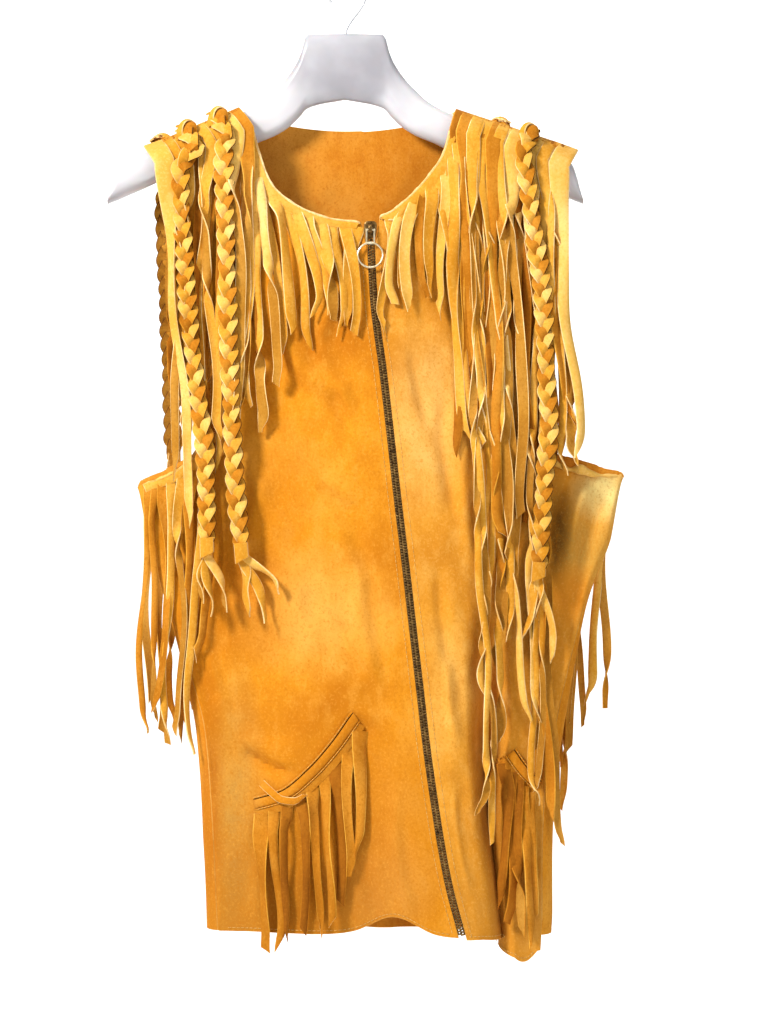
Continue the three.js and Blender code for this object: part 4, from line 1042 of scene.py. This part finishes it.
# The welt's profile: the distance below its line, the height over the cloth, and the material there, where 3
# is painted shadow in the grooves
WELT_PROFILE = [
    [-6.4, 0.1, 0], [-6.2, 1.7, 0], [-5.4, 2.2, 0], [-4.7, 1.9, 3], [-4.5, 0.5, 3], [-3.9, 0.5, 3],
    [-3.7, 2.1, 0], [-2.4, 2.7, 0], [0, 2.9, 0], [2.6, 2.6, 0], [3.9, 2.2, 0], [4.3, 1.6, 3], [4.8, 1.6, 0],
    [5.6, 1.9, 0], [6.2, 1.5, 0], [6.4, 0.1, 0],
]
WELT_LIE = 1.0
# The share of its height that the welt has at its ends
WELT_END = [0.25, 0.7, 1]


def pocket_point(pocket, x, below):
    slope = (pocket["line"](x + 1) - pocket["line"](x - 1)) / 2
    long = np.hypot(1, slope)
    px, drop = x - below * slope / long, pocket["line"](x) + below / long
    return px, -COVERS[-1].under(px, drop, 1.5), drop


def pocket_welt(side):
    build, pocket = Build(), POCKETS[side]
    along = np.linspace(pocket["from"], pocket["to"], max(12, round((pocket["to"] - pocket["from"]) / 1.2)))
    rings = []
    for i, x in enumerate(along):
        end = min(i, len(along) - 1 - i)
        low = WELT_END[min(end, 2)]
        rings.append([
            points_at(*pocket_point(pocket, x, below)) - [0, WELT_LIE + height * low, 0]
            for below, height, _ in WELT_PROFILE
        ])
    build.loft(np.array(rings), [row[2] for row in WELT_PROFILE], 0)
    return build


def pocket_fringe(side, rng):
    build, pocket = Build(), POCKETS[side]
    along = np.linspace(pocket["from"], pocket["to"], 60)
    grid = np.stack([points_at(*pocket_point(pocket, along, below)) for below in np.linspace(6.8, 12.8, 5)])
    lay_band(build, grid, -1, (4, 2, 4))
    for i, tip in enumerate(pocket["tips"]):
        x = mix(pocket["from"], pocket["to"], (i + 0.5) / len(pocket["tips"]))
        px, y, drop = pocket_point(pocket, x, 10.8)
        root = [float(px), float(drop), float(-y)]
        curl = rng.uniform(-4, 4)
        strip(build, "front_right", root, tip, rng, i % 2, 10.6, 0, curl, POCKET_FACES, 0.12, 1.3)
    return build


# The short strip across the welt of the right pocket
def pocket_loop():
    build = Build()
    line = curve([-77, -68, -58, -47, -37], [757, 765, 772, 773, 767])
    x = np.linspace(-77, -37, 24)
    path = points_at(x, -(COVERS[-1].under(x, line(x), 7) + WELT_LIE + 3.6), line(x))
    width = mix(7, 4, smooth((x + 48) / 10))
    ribbon(build, path, np.array([0.0, -1.0, 0.0]), width, STRIP, 0.15 * np.sin(x / 6), 0.5, slant=2)
    return build


# Metal and plastic parts


# A round bar along a path
def bar(build, path, radius, sides, slot=0):
    path = np.asarray(path, float)
    along = unit(np.gradient(path, axis=0))
    side = unit(np.cross(along, (0.0, 1.0, 0.0)))
    other = np.cross(side, along)
    turn = np.linspace(0, 2 * math.pi, sides, endpoint=False)[None, :, None]
    radius = np.broadcast_to(radius, len(path))[:, None, None]
    around = side[:, None] * np.cos(turn) + other[:, None] * np.sin(turn)
    build.loft(path[:, None] + radius * around, slot, slot)


hanger_profile = table("top foot half", [
    [0, 62, 123.6, 8], [36, 63, 132, 8.5], [42, 82, 139, 9], [52, 99.7, 148.5, 10], [65, 114.4, 156.8, 11],
    [80, 127.4, 163, 12], [100, 137.2, 172.4, 13], [150, 157.8, 189, 14], [190, 174.2, 207.4, 15],
    [203, 177.6, 213, 15.5], [211, 183, 216.6, 15], [221, 216, 220.4, 9],
])
HANGER_ROUND = 2.15
# Half the width of the moulding, and where the rounding of its ends starts
HANGER_END, HANGER_TIP = 221, 196
# The moulding's groove: the reach of its section outside and inside it, each as a share of the half depth
GROOVE = {"edge": 0.62, "floor": 0.48, "depth": 0.1, "end": 200, "fade": 20}


# A number's power that keeps its sign
def bend(v, power):
    return np.sign(v) * np.abs(v) ** power


def hanger_body():
    build = Build()
    tip = np.linspace(-HANGER_END, -HANGER_TIP, 12)
    station = np.concatenate([tip[:-1], np.linspace(-HANGER_TIP, HANGER_TIP, 130), -tip[::-1][1:]])
    turn = np.radians(np.arange(0, 360, 10) + 5)[None, :]
    top, foot, half = (hanger_profile[name](np.abs(station))[:, None] for name in ("top", "foot", "half"))
    height = bend(np.sin(turn), 2 / HANGER_ROUND)
    fall = (GROOVE["edge"] - np.abs(height)) / (GROOVE["edge"] - GROOVE["floor"])
    inset = GROOVE["depth"] * smooth(fall)
    reach = smooth((GROOVE["end"] - np.abs(station[:, None])) / GROOVE["fade"])
    y = half * bend(np.cos(turn), 2 / HANGER_ROUND) * (1 - inset * reach)
    build.loft(points_at(station[:, None], y, mix(foot, top, (1 + height) / 2)), 0, 0)
    return build


HOOK = {"wire": 1.35, "bow": 18.2, "foot": 62.6, "neck": 27.5, "start": -20, "turn": 250}


def hanger_hook():
    build = Build()
    radius = HOOK["bow"] + HOOK["wire"]
    s = np.linspace(0, 1, 30)[:-1]
    stem = points_at(radius * smooth(s) * 0.94, 0 * s, mix(HOOK["foot"], HOOK["neck"], s))
    turn = np.radians(np.linspace(HOOK["start"], HOOK["start"] + HOOK["turn"], 90))
    bow = points_at(radius * np.cos(turn), 0 * turn, HOOK["bow"] - radius * np.sin(turn))
    path = np.concatenate([stem, bow])
    for _ in range(3):
        path[1:-1] = (path[:-2] + 2 * path[1:-1] + path[2:]) / 4
    bar(build, path, HOOK["wire"], 14)
    return build


# The zip: tapes behind the fronts, two rows of interlocking teeth, the slider and its pull with a ring

CHAIN = {"width": 6.8, "depth": 2.6, "pitch": 2.5, "tooth": 1.45, "mesh": 0.9, "cord": 0.62}
# A tooth's sections: the depth of each and its size
TOOTH = [[-1, 0.94], [0.55, 1], [0.86, 0.9], [1, 0.66]]
SLIDER_TOP = 239
SLIDER_FOOT = 254
SLIDER_ROW = 6.48
TAPE = {"width": 14, "thick": 0.8, "gap": 0.35}
# How far the chain lies behind the zip edges of the fronts
CHAIN_LIE = 0.9
zip_rows = np.array([SLIDER_ROW, *range(7, HEM + 1)])
zip_drops = ROWS["right"]["inner_drop"](zip_rows)
zip_y = curve([SLIDER_TOP, *zip_drops], [-26, *ROWS["right"]["inner_y"](zip_rows)])


def zip_line(drop):
    return points_at(zip_x(drop), zip_y(drop) + CHAIN_LIE, drop)


def panel_width(side, row):
    return np.abs(ROWS[side]["outer_x"](row) - ROWS[side]["inner_x"](row))


def zip_tape(side):
    build = Build()
    row = np.linspace(SLIDER_ROW, HEM, 200)
    width = panel_width(side, row)
    across = np.linspace(0, 1, 5)
    grid = np.stack([front_point(side, 0.001 + share * TAPE["width"] / width, row) for share in across], 1)
    behind = grid - normals_of(grid, OUTWARD[side]) * (SUEDE + TAPE["gap"])
    shell(build, behind, TAPE["thick"], OUTWARD[side], (0, 0, 0))
    return build


# A square section of half size 1 with its corners cut: the height and the width that stay straight
def chamfered(high, wide):
    return [
        [-1, -high], [-wide, -1], [wide, -1], [1, -high], [1, high], [wide, 1], [-wide, 1], [-1, high],
    ]


def zip_chain():
    build = Build()
    start, end = SLIDER_FOOT + 0.9, float(zip_drops[-1]) - 2.6
    count = int((end - start) / (CHAIN["pitch"] / 2))
    long = CHAIN["width"] / 2 + CHAIN["mesh"]
    for i, drop in enumerate(np.linspace(start, end, count)):
        along = unit(zip_line(drop + 1) - zip_line(drop - 1))
        across = unit(np.cross(along, [0.0, 1.0, 0.0]))
        out = np.cross(across, along)
        out = out if out[1] < 0 else -out
        side = 1 if i % 2 else -1
        middle = zip_line(drop) + across * side * (CHAIN["width"] / 2 - long / 2)
        rings = []
        for depth, share in TOOTH:
            flat = middle + out * depth * CHAIN["depth"] / 2
            wide, high = across * long / 2 * share, along * CHAIN["tooth"] / 2 * share
            rings.append([flat + wide * a + high * b for a, b in chamfered(0.6, 0.8)])
        build.loft(rings, 0, 0)
    line = zip_line(np.linspace(start, end, 200))
    for side in (-1, 1):
        bar(build, line + [side * (CHAIN["width"] / 2 - 0.75), 0.55, 0], CHAIN["cord"], 6, 1)
    return build


SLIDER = {"drop": 246.5, "half": 3.5, "neck": 2.2}
SLIDER["x"], SLIDER["y"] = float(zip_x(SLIDER["drop"])), float(zip_y(SLIDER["drop"])) + CHAIN_LIE
# The outline of the slider's plates: the drop and the width
PLATE = [
    [239, 7], [239.4, 8.6], [240.4, 10.8], [242, 11.8], [246.5, 12], [250, 11], [253, 9.6], [253.8, 8.8],
    [254, 7.6],
]
BRIDGE = {
    "wide": 3.6, "low": -4, "high": 4.5, "inside": 6.9, "bar": 1.6, "back": 2.6, "lean": 1.2, "rise": 1.4,
}


def zip_slider():
    build = Build()
    turn = np.radians(np.arange(0, 360, 12))
    for depth, near in ((-1, -0.32), (0.32, 1)):
        rings = []
        for drop, width in PLATE:
            ends = min(drop - SLIDER_TOP, SLIDER_FOOT - drop)
            middle = mix(depth, near, 0.5) * SLIDER["half"]
            deep = (near - depth) * SLIDER["half"] / 2 * (0.86 + 0.14 * min(1, ends / 1.6))
            x, y = width / 2 * bend(np.cos(turn), 0.5), deep * bend(np.sin(turn), 0.6)
            rings.append(points_at(SLIDER["x"] + x, SLIDER["y"] + middle + y, drop))
        build.loft(rings, 0, 0)
    neck = np.cos(turn) * SLIDER["neck"], np.sin(turn) * SLIDER["neck"]
    build.loft([points_at(SLIDER["x"] + neck[0], SLIDER["y"] + neck[1], drop) for drop in (240, 245)], 0, 0)
    thick = BRIDGE["bar"] / 2
    front, back = SLIDER["y"] - BRIDGE["inside"] - thick, SLIDER["y"] - BRIDGE["back"]
    foot, top = SLIDER["drop"] - BRIDGE["low"] - thick, SLIDER["drop"] - BRIDGE["high"] + thick
    bent, rise = front + BRIDGE["lean"], BRIDGE["rise"]
    line = np.array([
        [back, foot], [bent, foot], [front, foot - rise], [front, top + rise], [bent, top], [back, top],
    ])
    path = points_at(SLIDER["x"], line[:, 0], line[:, 1])
    wide = np.array([BRIDGE["wide"] / 2, 0, 0])
    rings = []
    for i, p in enumerate(path):
        before, after = path[max(i - 1, 0)], path[min(i + 1, len(path) - 1)]
        high = unit(np.cross(after - before, [1.0, 0.0, 0.0])) * thick
        rings.append([p + wide * a + high * b for a, b in chamfered(0.6, 0.8)])
    build.loft(rings, 0, 0)
    return build


PULL = {
    "out": 5.2, "up": -0.8, "pin": 1.1, "half": 4.5, "tilt": 6, "leg_in": 2.6, "leg_foot": 13.4,
    "ring_drop": 23.5, "thick": 0.8,
}
RING = {"radius": 11.5, "wire": 1.0, "stops": 64, "sides": 12}


def zip_pull():
    build = Build()
    pin = np.array([[-1, 0, 0], [-0.6, 0, 0], [0.6, 0, 0], [1, 0, 0]]) * PULL["half"]
    bar(build, pin, PULL["pin"], 16)
    square, thick = chamfered(0.5, 0.7), PULL["thick"]
    middle, half = (PULL["half"] + PULL["leg_in"]) / 2, (PULL["half"] - PULL["leg_in"]) / 2
    down = np.linspace(0, PULL["leg_foot"], 8)
    across = np.linspace(-PULL["half"], PULL["half"], 8)
    for sign in (-1, 1):
        build.loft([[[sign * middle + half * a, thick * b, -z] for a, b in square] for z in down], 0, 0)
    build.loft([[[x, thick * a, -PULL["leg_foot"] + 1 + b] for a, b in square] for x in across], 0, 0)
    turn = np.linspace(0, 2 * math.pi, RING["stops"] + 1)[:-1]
    ring = RING["radius"] * np.stack([np.sin(turn), 0 * turn, np.cos(turn)], 1) - [0, 0, PULL["ring_drop"]]
    radial = unit(ring - [0, 0, -PULL["ring_drop"]])
    around = np.linspace(0, 2 * math.pi, RING["sides"] + 1)[:-1][None, :, None]
    around = radial[:, None] * np.cos(around) + np.array([0, 1.0, 0]) * np.sin(around)
    tube = ring[:, None] + RING["wire"] * around
    total = RING["stops"] * RING["sides"]
    faces = [[i % total for i in face] for face in ring_faces(RING["stops"] + 1, RING["sides"])]
    build.add(tube, faces, [1] * len(faces))
    tilt = math.radians(-PULL["tilt"])
    cos, sin = math.cos(tilt), math.sin(tilt)
    x, y, z = np.concatenate(build.points).T
    turned = np.stack([x, y * cos - z * sin, y * sin + z * cos], 1)
    build.points = [turned + [SLIDER["x"], SLIDER["y"] - PULL["out"], PULL["up"] - SLIDER["drop"]]]
    return build


# Materials


def linear(code):
    parts = [int(code[i:i + 2], 16) / 255 for i in (0, 2, 4)]
    return (*(p / 12.92 if p <= 0.04045 else ((p + 0.055) / 1.055) ** 2.4 for p in parts), 1)


# The colour sockets of a mix node, by number
MIX_FACTOR, MIX_A, MIX_B, MIX_RESULT = 0, 6, 7, 2


# A node material painted from noises that stay put on the piece
class Paint:
    def __init__(self, name):
        self.material = bpy.data.materials.new(name)
        self.material.use_nodes = True
        self.nodes, self.links = self.material.node_tree.nodes, self.material.node_tree.links
        self.place = self.node("TexCoord").outputs["Object"]

    # A new node with its inputs linked or set
    def node(self, kind, inputs=(), **settings):
        node = self.nodes.new("ShaderNode" + kind)
        for name, value in settings.items():
            setattr(node, name, value)
        self.put(node, dict(inputs))
        return node

    def put(self, node, inputs):
        for key, value in inputs.items():
            if isinstance(value, bpy.types.NodeSocket):
                self.links.new(value, node.inputs[key])
            else:
                node.inputs[key].default_value = value

    def noise(self, scale, detail=4, roughness=0.55, stretch=None):
        place = self.place
        if stretch:
            place = self.node("Mapping", {"Scale": stretch, "Vector": place}).outputs["Vector"]
        inputs = {"Scale": scale, "Detail": detail, "Roughness": roughness, "Vector": place}
        return self.node("TexNoise", inputs).outputs["Fac"]

    def ramp(self, value, stops):
        node = self.node("ValToRGB", {"Fac": value})
        for element, (at, color) in zip(node.color_ramp.elements, (stops[0], stops[-1])):
            element.position, element.color = at, linear(color)
        for at, color in stops[1:-1]:
            node.color_ramp.elements.new(at).color = linear(color)
        return node.outputs["Color"]

    def map(self, value, low, high, to_low=0.0, to_high=1.0):
        inputs = {"Value": value, "From Min": low, "From Max": high, "To Min": to_low, "To Max": to_high}
        return self.node("MapRange", inputs).outputs["Result"]

    def blend(self, share, a, b):
        inputs = {MIX_FACTOR: share, MIX_A: a, MIX_B: b}
        return self.node("Mix", inputs, data_type="RGBA").outputs[MIX_RESULT]

    # 1 inside a soft ball about a place in metres, 0 outside it
    def spot(self, centre, size):
        offset = self.node("VectorMath", {0: self.place, 1: centre}, operation="SUBTRACT")
        scaled = self.node("VectorMath", {0: offset.outputs["Vector"], 1: size}, operation="DIVIDE")
        length = self.node("VectorMath", {0: scaled.outputs["Vector"]}, operation="LENGTH")
        return self.map(length.outputs["Value"], 1.0, 0.35)

    def times(self, a, b):
        return self.node("Math", {0: a, 1: b}, operation="MULTIPLY").outputs["Value"]

    def bump(self, value, strength, distance, below=None):
        inputs = {"Height": value, "Strength": strength, "Distance": distance}
        if below:
            inputs["Normal"] = below
        return self.node("Bump", inputs).outputs["Normal"]

    def finish(self, color, normal=None, **inputs):
        inputs = {name.replace("_", " "): value for name, value in inputs.items()}
        inputs["Base Color"] = color
        if normal:
            inputs["Normal"] = normal
        self.put(self.nodes["Principled BSDF"], inputs)
        return self.material


# Suede: large clouds where the nap lies either way, brush marks, spots of colour at given places, small
# speckles and a fine grain. Some spots of the left front are painted shade and painted light.
def suede(name, dark, mid, light, spots=(), grain=0.5):
    paint = Paint(name)
    clouds = paint.noise(7, 4, 0.55)
    brush = paint.noise(52, 8, 0.74, (1, 1, 0.6))
    speckle = paint.noise(420, 3, 0.6)
    fine = paint.noise(1500, 3, 0.7)
    color = paint.ramp(clouds, [(0.32, dark), (0.5, mid), (0.7, light)])
    color = paint.blend(paint.map(brush, 0.5, 0.72, 0, 0.6), color, linear(light))
    color = paint.blend(paint.map(brush, 0.49, 0.28, 0, 0.6), color, linear(dark))
    for centre, size, shade, share in spots:
        mask = paint.times(paint.spot(centre, size), paint.map(brush, 0.3, 0.6, 0.45 * share, share))
        color = paint.blend(mask, color, linear(shade))
    color = paint.blend(paint.map(speckle, 0.52, 0.74, 0, 0.65), color, linear(dark))
    color = paint.blend(paint.map(speckle, 0.46, 0.28, 0, 0.35), color, linear(light))
    color = paint.blend(paint.map(fine, 0.3, 0.7, 0, 0.2), color, linear(dark))
    normal = paint.bump(fine, grain, 0.0006)
    normal = paint.bump(speckle, 0.35, 0.0007, normal)
    return paint.finish(
        color, normal, Roughness=0.95, Sheen_Weight=0.2, Sheen_Roughness=0.5, Sheen_Tint=linear(light),
        Specular_IOR_Level=0.1,
    )


def metal(name, dark, light, rough):
    paint = Paint(name)
    wear = paint.noise(260, 5, 0.65)
    color = paint.ramp(wear, [(0.32, dark), (0.62, light)])
    return paint.finish(
        color, paint.bump(paint.noise(900, 2), 0.12, 0.0002), Metallic=0.9,
        Roughness=paint.map(wear, 0.3, 0.7, rough + 0.14, rough),
    )


SKIN = suede("suede_front", "b2680e", "ce8418", "de9e3c", [
    ((-0.102, -0.04, -0.79), (0.034, 0.06, 0.17), "a8803e", 0.75),
    ((-0.125, -0.03, -0.76), (0.016, 0.08, 0.18), "a45404", 0.7),
    ((-0.03, -0.04, -0.6), (0.09, 0.08, 0.07), "dca44e", 0.6),
    ((0.03, -0.04, -0.85), (0.06, 0.08, 0.06), "d8a254", 0.55),
    ((-0.06, -0.04, -0.48), (0.05, 0.08, 0.1), "b4680c", 0.5),
    ((0.0, -0.04, -0.8), (0.11, 0.08, 0.14), "b0660c", 0.8),
    ((-0.09, -0.04, -0.6), (0.06, 0.08, 0.06), "ba7014", 0.6),
    ((-0.06, -0.04, -0.9), (0.16, 0.08, 0.13), "a4681c", 0.6),
])
SKIN_LEFT = suede("suede_front_left", "bc761c", "d4902c", "e2ac54", [
    ((0.075, -0.04, -0.42), (0.045, 0.08, 0.1), "e4b264", 0.6),
    # Painted shade deep inside the fold of the left front
    ((0.135, 0.0, -0.83), (0.06, 0.045, 0.13), "7a4008", 1.0),
    # The flap at the left armhole: an olive patch of painted half shade, a deeper orange towards its foot,
    # and a pale patch of painted light on its lit top
    ((0.222, -0.02, -0.54), (0.032, 0.06, 0.05), "b48c3e", 0.75),
    ((0.21, -0.02, -0.585), (0.03, 0.06, 0.035), "c87818", 0.8),
    ((0.24, -0.02, -0.488), (0.036, 0.06, 0.034), "e8d084", 1.0),
    # Painted shadow on the flap's left side, beside the braid
    ((0.194, -0.02, -0.525), (0.021, 0.06, 0.062), "54390e", 0.9),
    ((0.12, -0.04, -0.88), (0.12, 0.08, 0.09), "b0701c", 0.6),
])
FLESH = suede("suede_inside", "b06010", "c87e20", "d49238", grain=0.8)
FRINGE = suede("fringe_face", "b87818", "d29630", "e4b45a", grain=0.35)
FRINGE_DEEP = suede("fringe_deep", "985a0c", "b8741a", "cc8e34", grain=0.4)
# Painted shade: a darker copy of the fringe suede for the strips that lie under others and for some pocket
# strips
FRINGE_SHADED = suede("fringe_shaded", "7c450a", "98590f", "b0701e", grain=0.4)
FRINGE_PALE = suede("fringe_pale", "cc9436", "deae52", "eec880", grain=0.35)
FRINGE_BACK = suede("fringe_back", "945e18", "b07824", "c69240", grain=0.6)
# Cut edges: paler suede, partly a painted highlight where light catches the edges of the strips
EDGE = suede("cut_edge_and_highlight", "cc9c54", "e4c080", "f4dca8", grain=0.3)
RIM = suede("panel_rim", "b87c2c", "d09a48", "e4b868", grain=0.3)
# Painted shadow, for the deep edges of plaited strands and the grooves of the pocket welts
PLAIT_AND_SLIT_SHADOW = suede("plait_and_slit_shadow", "3a2008", "5a3410", "7a4c1c")
BRONZE = metal("zip_bronze", "2a1a0b", "8c6c3c", 0.34)
GOLD = metal("ring_gold", "bca878", "f4e8c8", 0.3)
STEEL = metal("hook_steel", "b4b6ba", "eceef2", 0.42)


def woven(name, dark, light):
    paint = Paint(name)
    weave = paint.noise(700, 2, 0.5, (1, 1, 0.45))
    color = paint.ramp(weave, [(0.35, dark), (0.65, light)])
    return paint.finish(color, paint.bump(weave, 0.5, 0.0004), Roughness=0.9)


def plastic(name, pale):
    paint = Paint(name)
    haze = paint.noise(22, 3, 0.5)
    color = paint.ramp(haze, [(0.35, "a2a0a6"), (0.68, "c0bfc4")])
    # Pale patches of painted light where the hanger's arms look lit
    for centre, size in pale:
        color = paint.blend(paint.times(paint.spot(centre, size), 0.75), color, linear("e8e6e8"))
    rough = paint.map(paint.noise(300, 3), 0.3, 0.7, 0.28, 0.42)
    return paint.finish(
        color, paint.bump(haze, 0.1, 0.0015), Roughness=rough, Transmission_Weight=0.25,
        Subsurface_Weight=0.25, Subsurface_Scale=0.008, IOR=1.46,
    )


TAPE_CLOTH = woven("tape_cloth", "3c2a18", "5e452a")
THREAD = woven("thread", "b08034", "d8ac5c")
# The pale patches are painted light on the arms near the neck and at the ends
PLASTIC = plastic("hanger_plastic", [
    ((-0.075, 0, -0.13), (0.05, 0.05, 0.055)), ((0.085, 0, -0.135), (0.055, 0.05, 0.055)),
    ((-0.2, 0, -0.19), (0.045, 0.05, 0.045)), ((0.208, 0, -0.195), (0.045, 0.05, 0.045)),
])


# Sewing: short stitches laid along a line of places on the vest

STITCH = {"long": 2.9, "pitch": 4.0, "radius": 0.34, "lift": 0.25}
WELT_STITCH = {"long": 2.4, "pitch": 3.4, "radius": 0.3, "lift": 0.15}
# How far each seam's stitches are from its edge: in mm at the zip and the armhole, in rows at the hem
ZIP_INSET = 4.2
ARMHOLE_INSET = 4.5
HEM_INSET = 0.16
# The two lines of stitches on a welt: the distance below its line and the height over the cloth
WELT_SEAMS = [(-5.6, 2.2), (5.6, 1.9)]
# The rows of the armhole that are stitched
ARMHOLE_SEAM = (2.2, 7.1)


def stitches(build, line, sign, form=STITCH):
    line = np.asarray(line, float)
    run = distance(line)
    long, half = form["long"], form["pitch"] / 2
    for at in np.arange(half, run[-1] - half, form["pitch"]):
        places = np.linspace(at - long / 2, at + long / 2, 4)
        path = np.stack([np.interp(places, run, line[:, i]) for i in range(3)], 1)
        path[:, 1] += sign * (np.array([-0.15, 1, 1, -0.15]) * form["lift"])
        bar(build, path, form["radius"] * np.array([0.7, 1, 1, 0.7]), 5)


# Stitches that lie on the cloth along a line
def sew(build, line, sign):
    x, drop = line[:, 0], -line[:, 2]
    stitches(build, points_at(x, sign * COVERS[sign].under(x, drop, 0.8), drop), sign)


def topstitching():
    build = Build()
    row = np.linspace(SLIDER_ROW + 0.15, HEM - 0.08, 300)
    for side in ("right", "left"):
        sew(build, front_point(side, ZIP_INSET / panel_width(side, row), row), -1)
        sew(build, front_point(side, np.linspace(0.03, 0.86, 200), HEM - HEM_INSET), -1)
    sew(build, back_point(np.linspace(0.02, 0.98, 200), HEM - HEM_INSET), 1)
    for place, (_, sign) in PANELS.items():
        edge = [inset_point(place, 1, row, ARMHOLE_INSET) for row in np.linspace(*ARMHOLE_SEAM, 120)]
        sew(build, np.array(edge), sign)
    for pocket in POCKETS.values():
        x = np.linspace(pocket["from"] + 1, pocket["to"] - 1, 90)
        for below, height in WELT_SEAMS:
            px, y, drop = pocket_point(pocket, x, below)
            stitches(build, points_at(px, y - WELT_LIE - height, drop), -1, WELT_STITCH)
    return build


# The whole vest


# How each fringe is drawn, and the seed of its random numbers
FRINGES = {
    "neck": (neck_fringe, 11), "shoulder": (shoulder_fringe, 31), "armhole": (armhole_fringe, 53),
    "pocket": (pocket_fringe, 71),
}
FRINGE_SET = [FRINGE, EDGE, FRINGE_BACK, PLAIT_AND_SLIT_SHADOW, FRINGE_DEEP, FRINGE_PALE, FRINGE_SHADED]


def cloth_panel(side, skin, node):
    build = Build()
    shell(build, GRIDS[side], SUEDE, OUTWARD[side])
    return build.piece(node + "_cloth", [skin, FLESH, RIM], [node], "suede_body")


def fringe_piece(kind, place, number):
    make, seed = FRINGES[kind]
    build = make(place, np.random.default_rng(seed + number))
    build.piece(f"{kind}_strips_{place}", FRINGE_SET, [f"{kind}_fringe_{place}"], "suede_fringe")


front_right = cloth_panel("right", SKIN, "front_right")
front_left = cloth_panel("left", SKIN_LEFT, "front_left")
back = cloth_panel("back", SKIN, "back")
for number, side in enumerate(("right", "left")):
    fringe_piece("neck", side, number)
    fringe_piece("pocket", side, number)
    pocket_welt(side).piece(f"welt_{side}", [SKIN, EDGE, FLESH, PLAIT_AND_SLIT_SHADOW], [f"pocket_welt_{side}"], "suede_body")
    zip_tape(side).piece(f"tape_{side}", [TAPE_CLOTH], [f"zip_tape_{side}"], "zip_tape")
for number, place in enumerate(PANELS):
    fringe_piece("shoulder", place, number)
    fringe_piece("armhole", place, number)
pocket_loop().piece("loop_strip", [SKIN, EDGE, FLESH], ["pocket_loop_right"], "suede_body")
topstitching().piece("topstitching", [THREAD], [], "suede_body")
zip_chain().piece("zip_teeth", [BRONZE, TAPE_CLOTH], ["zip_chain"], "zip_metal")
zip_slider().piece("slider", [BRONZE], ["zip_slider"], "zip_metal")
zip_pull().piece("pull_and_ring", [GOLD, GOLD], ["zip_pull"], "ring_metal", "zip_pull")
hanger_body().piece("moulded_hanger", [PLASTIC], ["hanger_body"], "hanger_plastic")
hanger_hook().piece("hanger_wire_hook", [STEEL], ["hanger_hook"], "hook_steel")

# The studio: a pale floor that sweeps up into a wall, and soft light

# The wall stands well behind the vest, so that a look from behind stays clear of it
WALL = {"y": 3700, "front": -4600, "floor": -1280, "top": 1600, "half": 3200, "bend": 500}


def backdrop():
    build = Build()
    bend_y, bend_z, radius = WALL["y"] - WALL["bend"], WALL["floor"] + WALL["bend"], WALL["bend"]
    side = [[WALL["front"], WALL["floor"]], [bend_y, WALL["floor"]]]
    for a in np.radians(np.linspace(0, 90, 24)):
        side.append([WALL["y"] - radius * (1 - math.sin(a)), bend_z - radius * math.cos(a)])
    side.append([WALL["y"], WALL["top"]])
    grid = np.array([[[x, y, z] for x in (-WALL["half"], WALL["half"])] for y, z in side])
    size = len(side)
    faces = [[2 * i, 2 * i + 1, 2 * i + 3, 2 * i + 2] for i in range(size - 1)]
    build.add(grid, faces, [0] * len(faces))
    paint = Paint("backdrop")
    color = paint.ramp(paint.noise(1.4, 2), [(0.3, "f1f0ee"), (0.7, "f7f6f4")])
    material = paint.finish(color, None, Roughness=0.9, Specular_IOR_Level=0.1)
    build.made("backdrop", [material])


def area_light(name, place, aim, size, power, color):
    light = bpy.data.lights.new(name, "AREA")
    light.shape, light.size, light.energy, light.color = "DISK", size, power, color
    lamp = bpy.data.objects.new(name, light)
    lamp.location = place
    lamp.rotation_euler = (Vector(aim) - Vector(place)).to_track_quat("-Z", "Y").to_euler()
    bpy.context.scene.collection.objects.link(lamp)


MIDDLE = (0.02, 0, -0.5)
# Each light: where it is, what it faces, its size, power and colour
LIGHTS = {
    "key": ((-1.5, -1.5, 0.9), MIDDLE, 0.55, 90, (1, 0.985, 0.96)),
    "fill": ((1.5, -2.1, -0.2), MIDDLE, 1.4, 15, (0.97, 0.98, 1)),
    "wall_wash": ((0.0, 1.9, 1.9), (0.0, 3.7, -0.6), 1.8, 90, (1, 1, 1)),
    "top": ((0.0, -0.9, 1.9), MIDDLE, 1.6, 22, (1, 1, 1)),
    "back_fill": ((0.9, 2.4, 0.7), MIDDLE, 1.2, 20, (1, 0.99, 0.97)),
}
backdrop()
for name, light in LIGHTS.items():
    area_light(name, *light)

world = bpy.data.worlds.new("studio")
world.use_nodes = True
sky = world.node_tree.nodes["Background"].inputs
sky["Color"].default_value = (0.96, 0.97, 1, 1)
sky["Strength"].default_value = 0.3
scene = bpy.context.scene
scene.world = world
scene.view_settings.view_transform = "Standard"

CAMERA = {"place": (0.0359, -3.035, -0.5073), "lens": 76.4, "sensor": 24}
camera_data = bpy.data.cameras.new("camera")
camera_data.sensor_fit = "VERTICAL"
camera_data.sensor_height = CAMERA["sensor"]
camera_data.lens = CAMERA["lens"]
camera = bpy.data.objects.new("camera", camera_data)
camera.location = CAMERA["place"]
camera.rotation_euler = (math.radians(90), 0, 0)
scene.collection.objects.link(camera)
scene.camera = camera
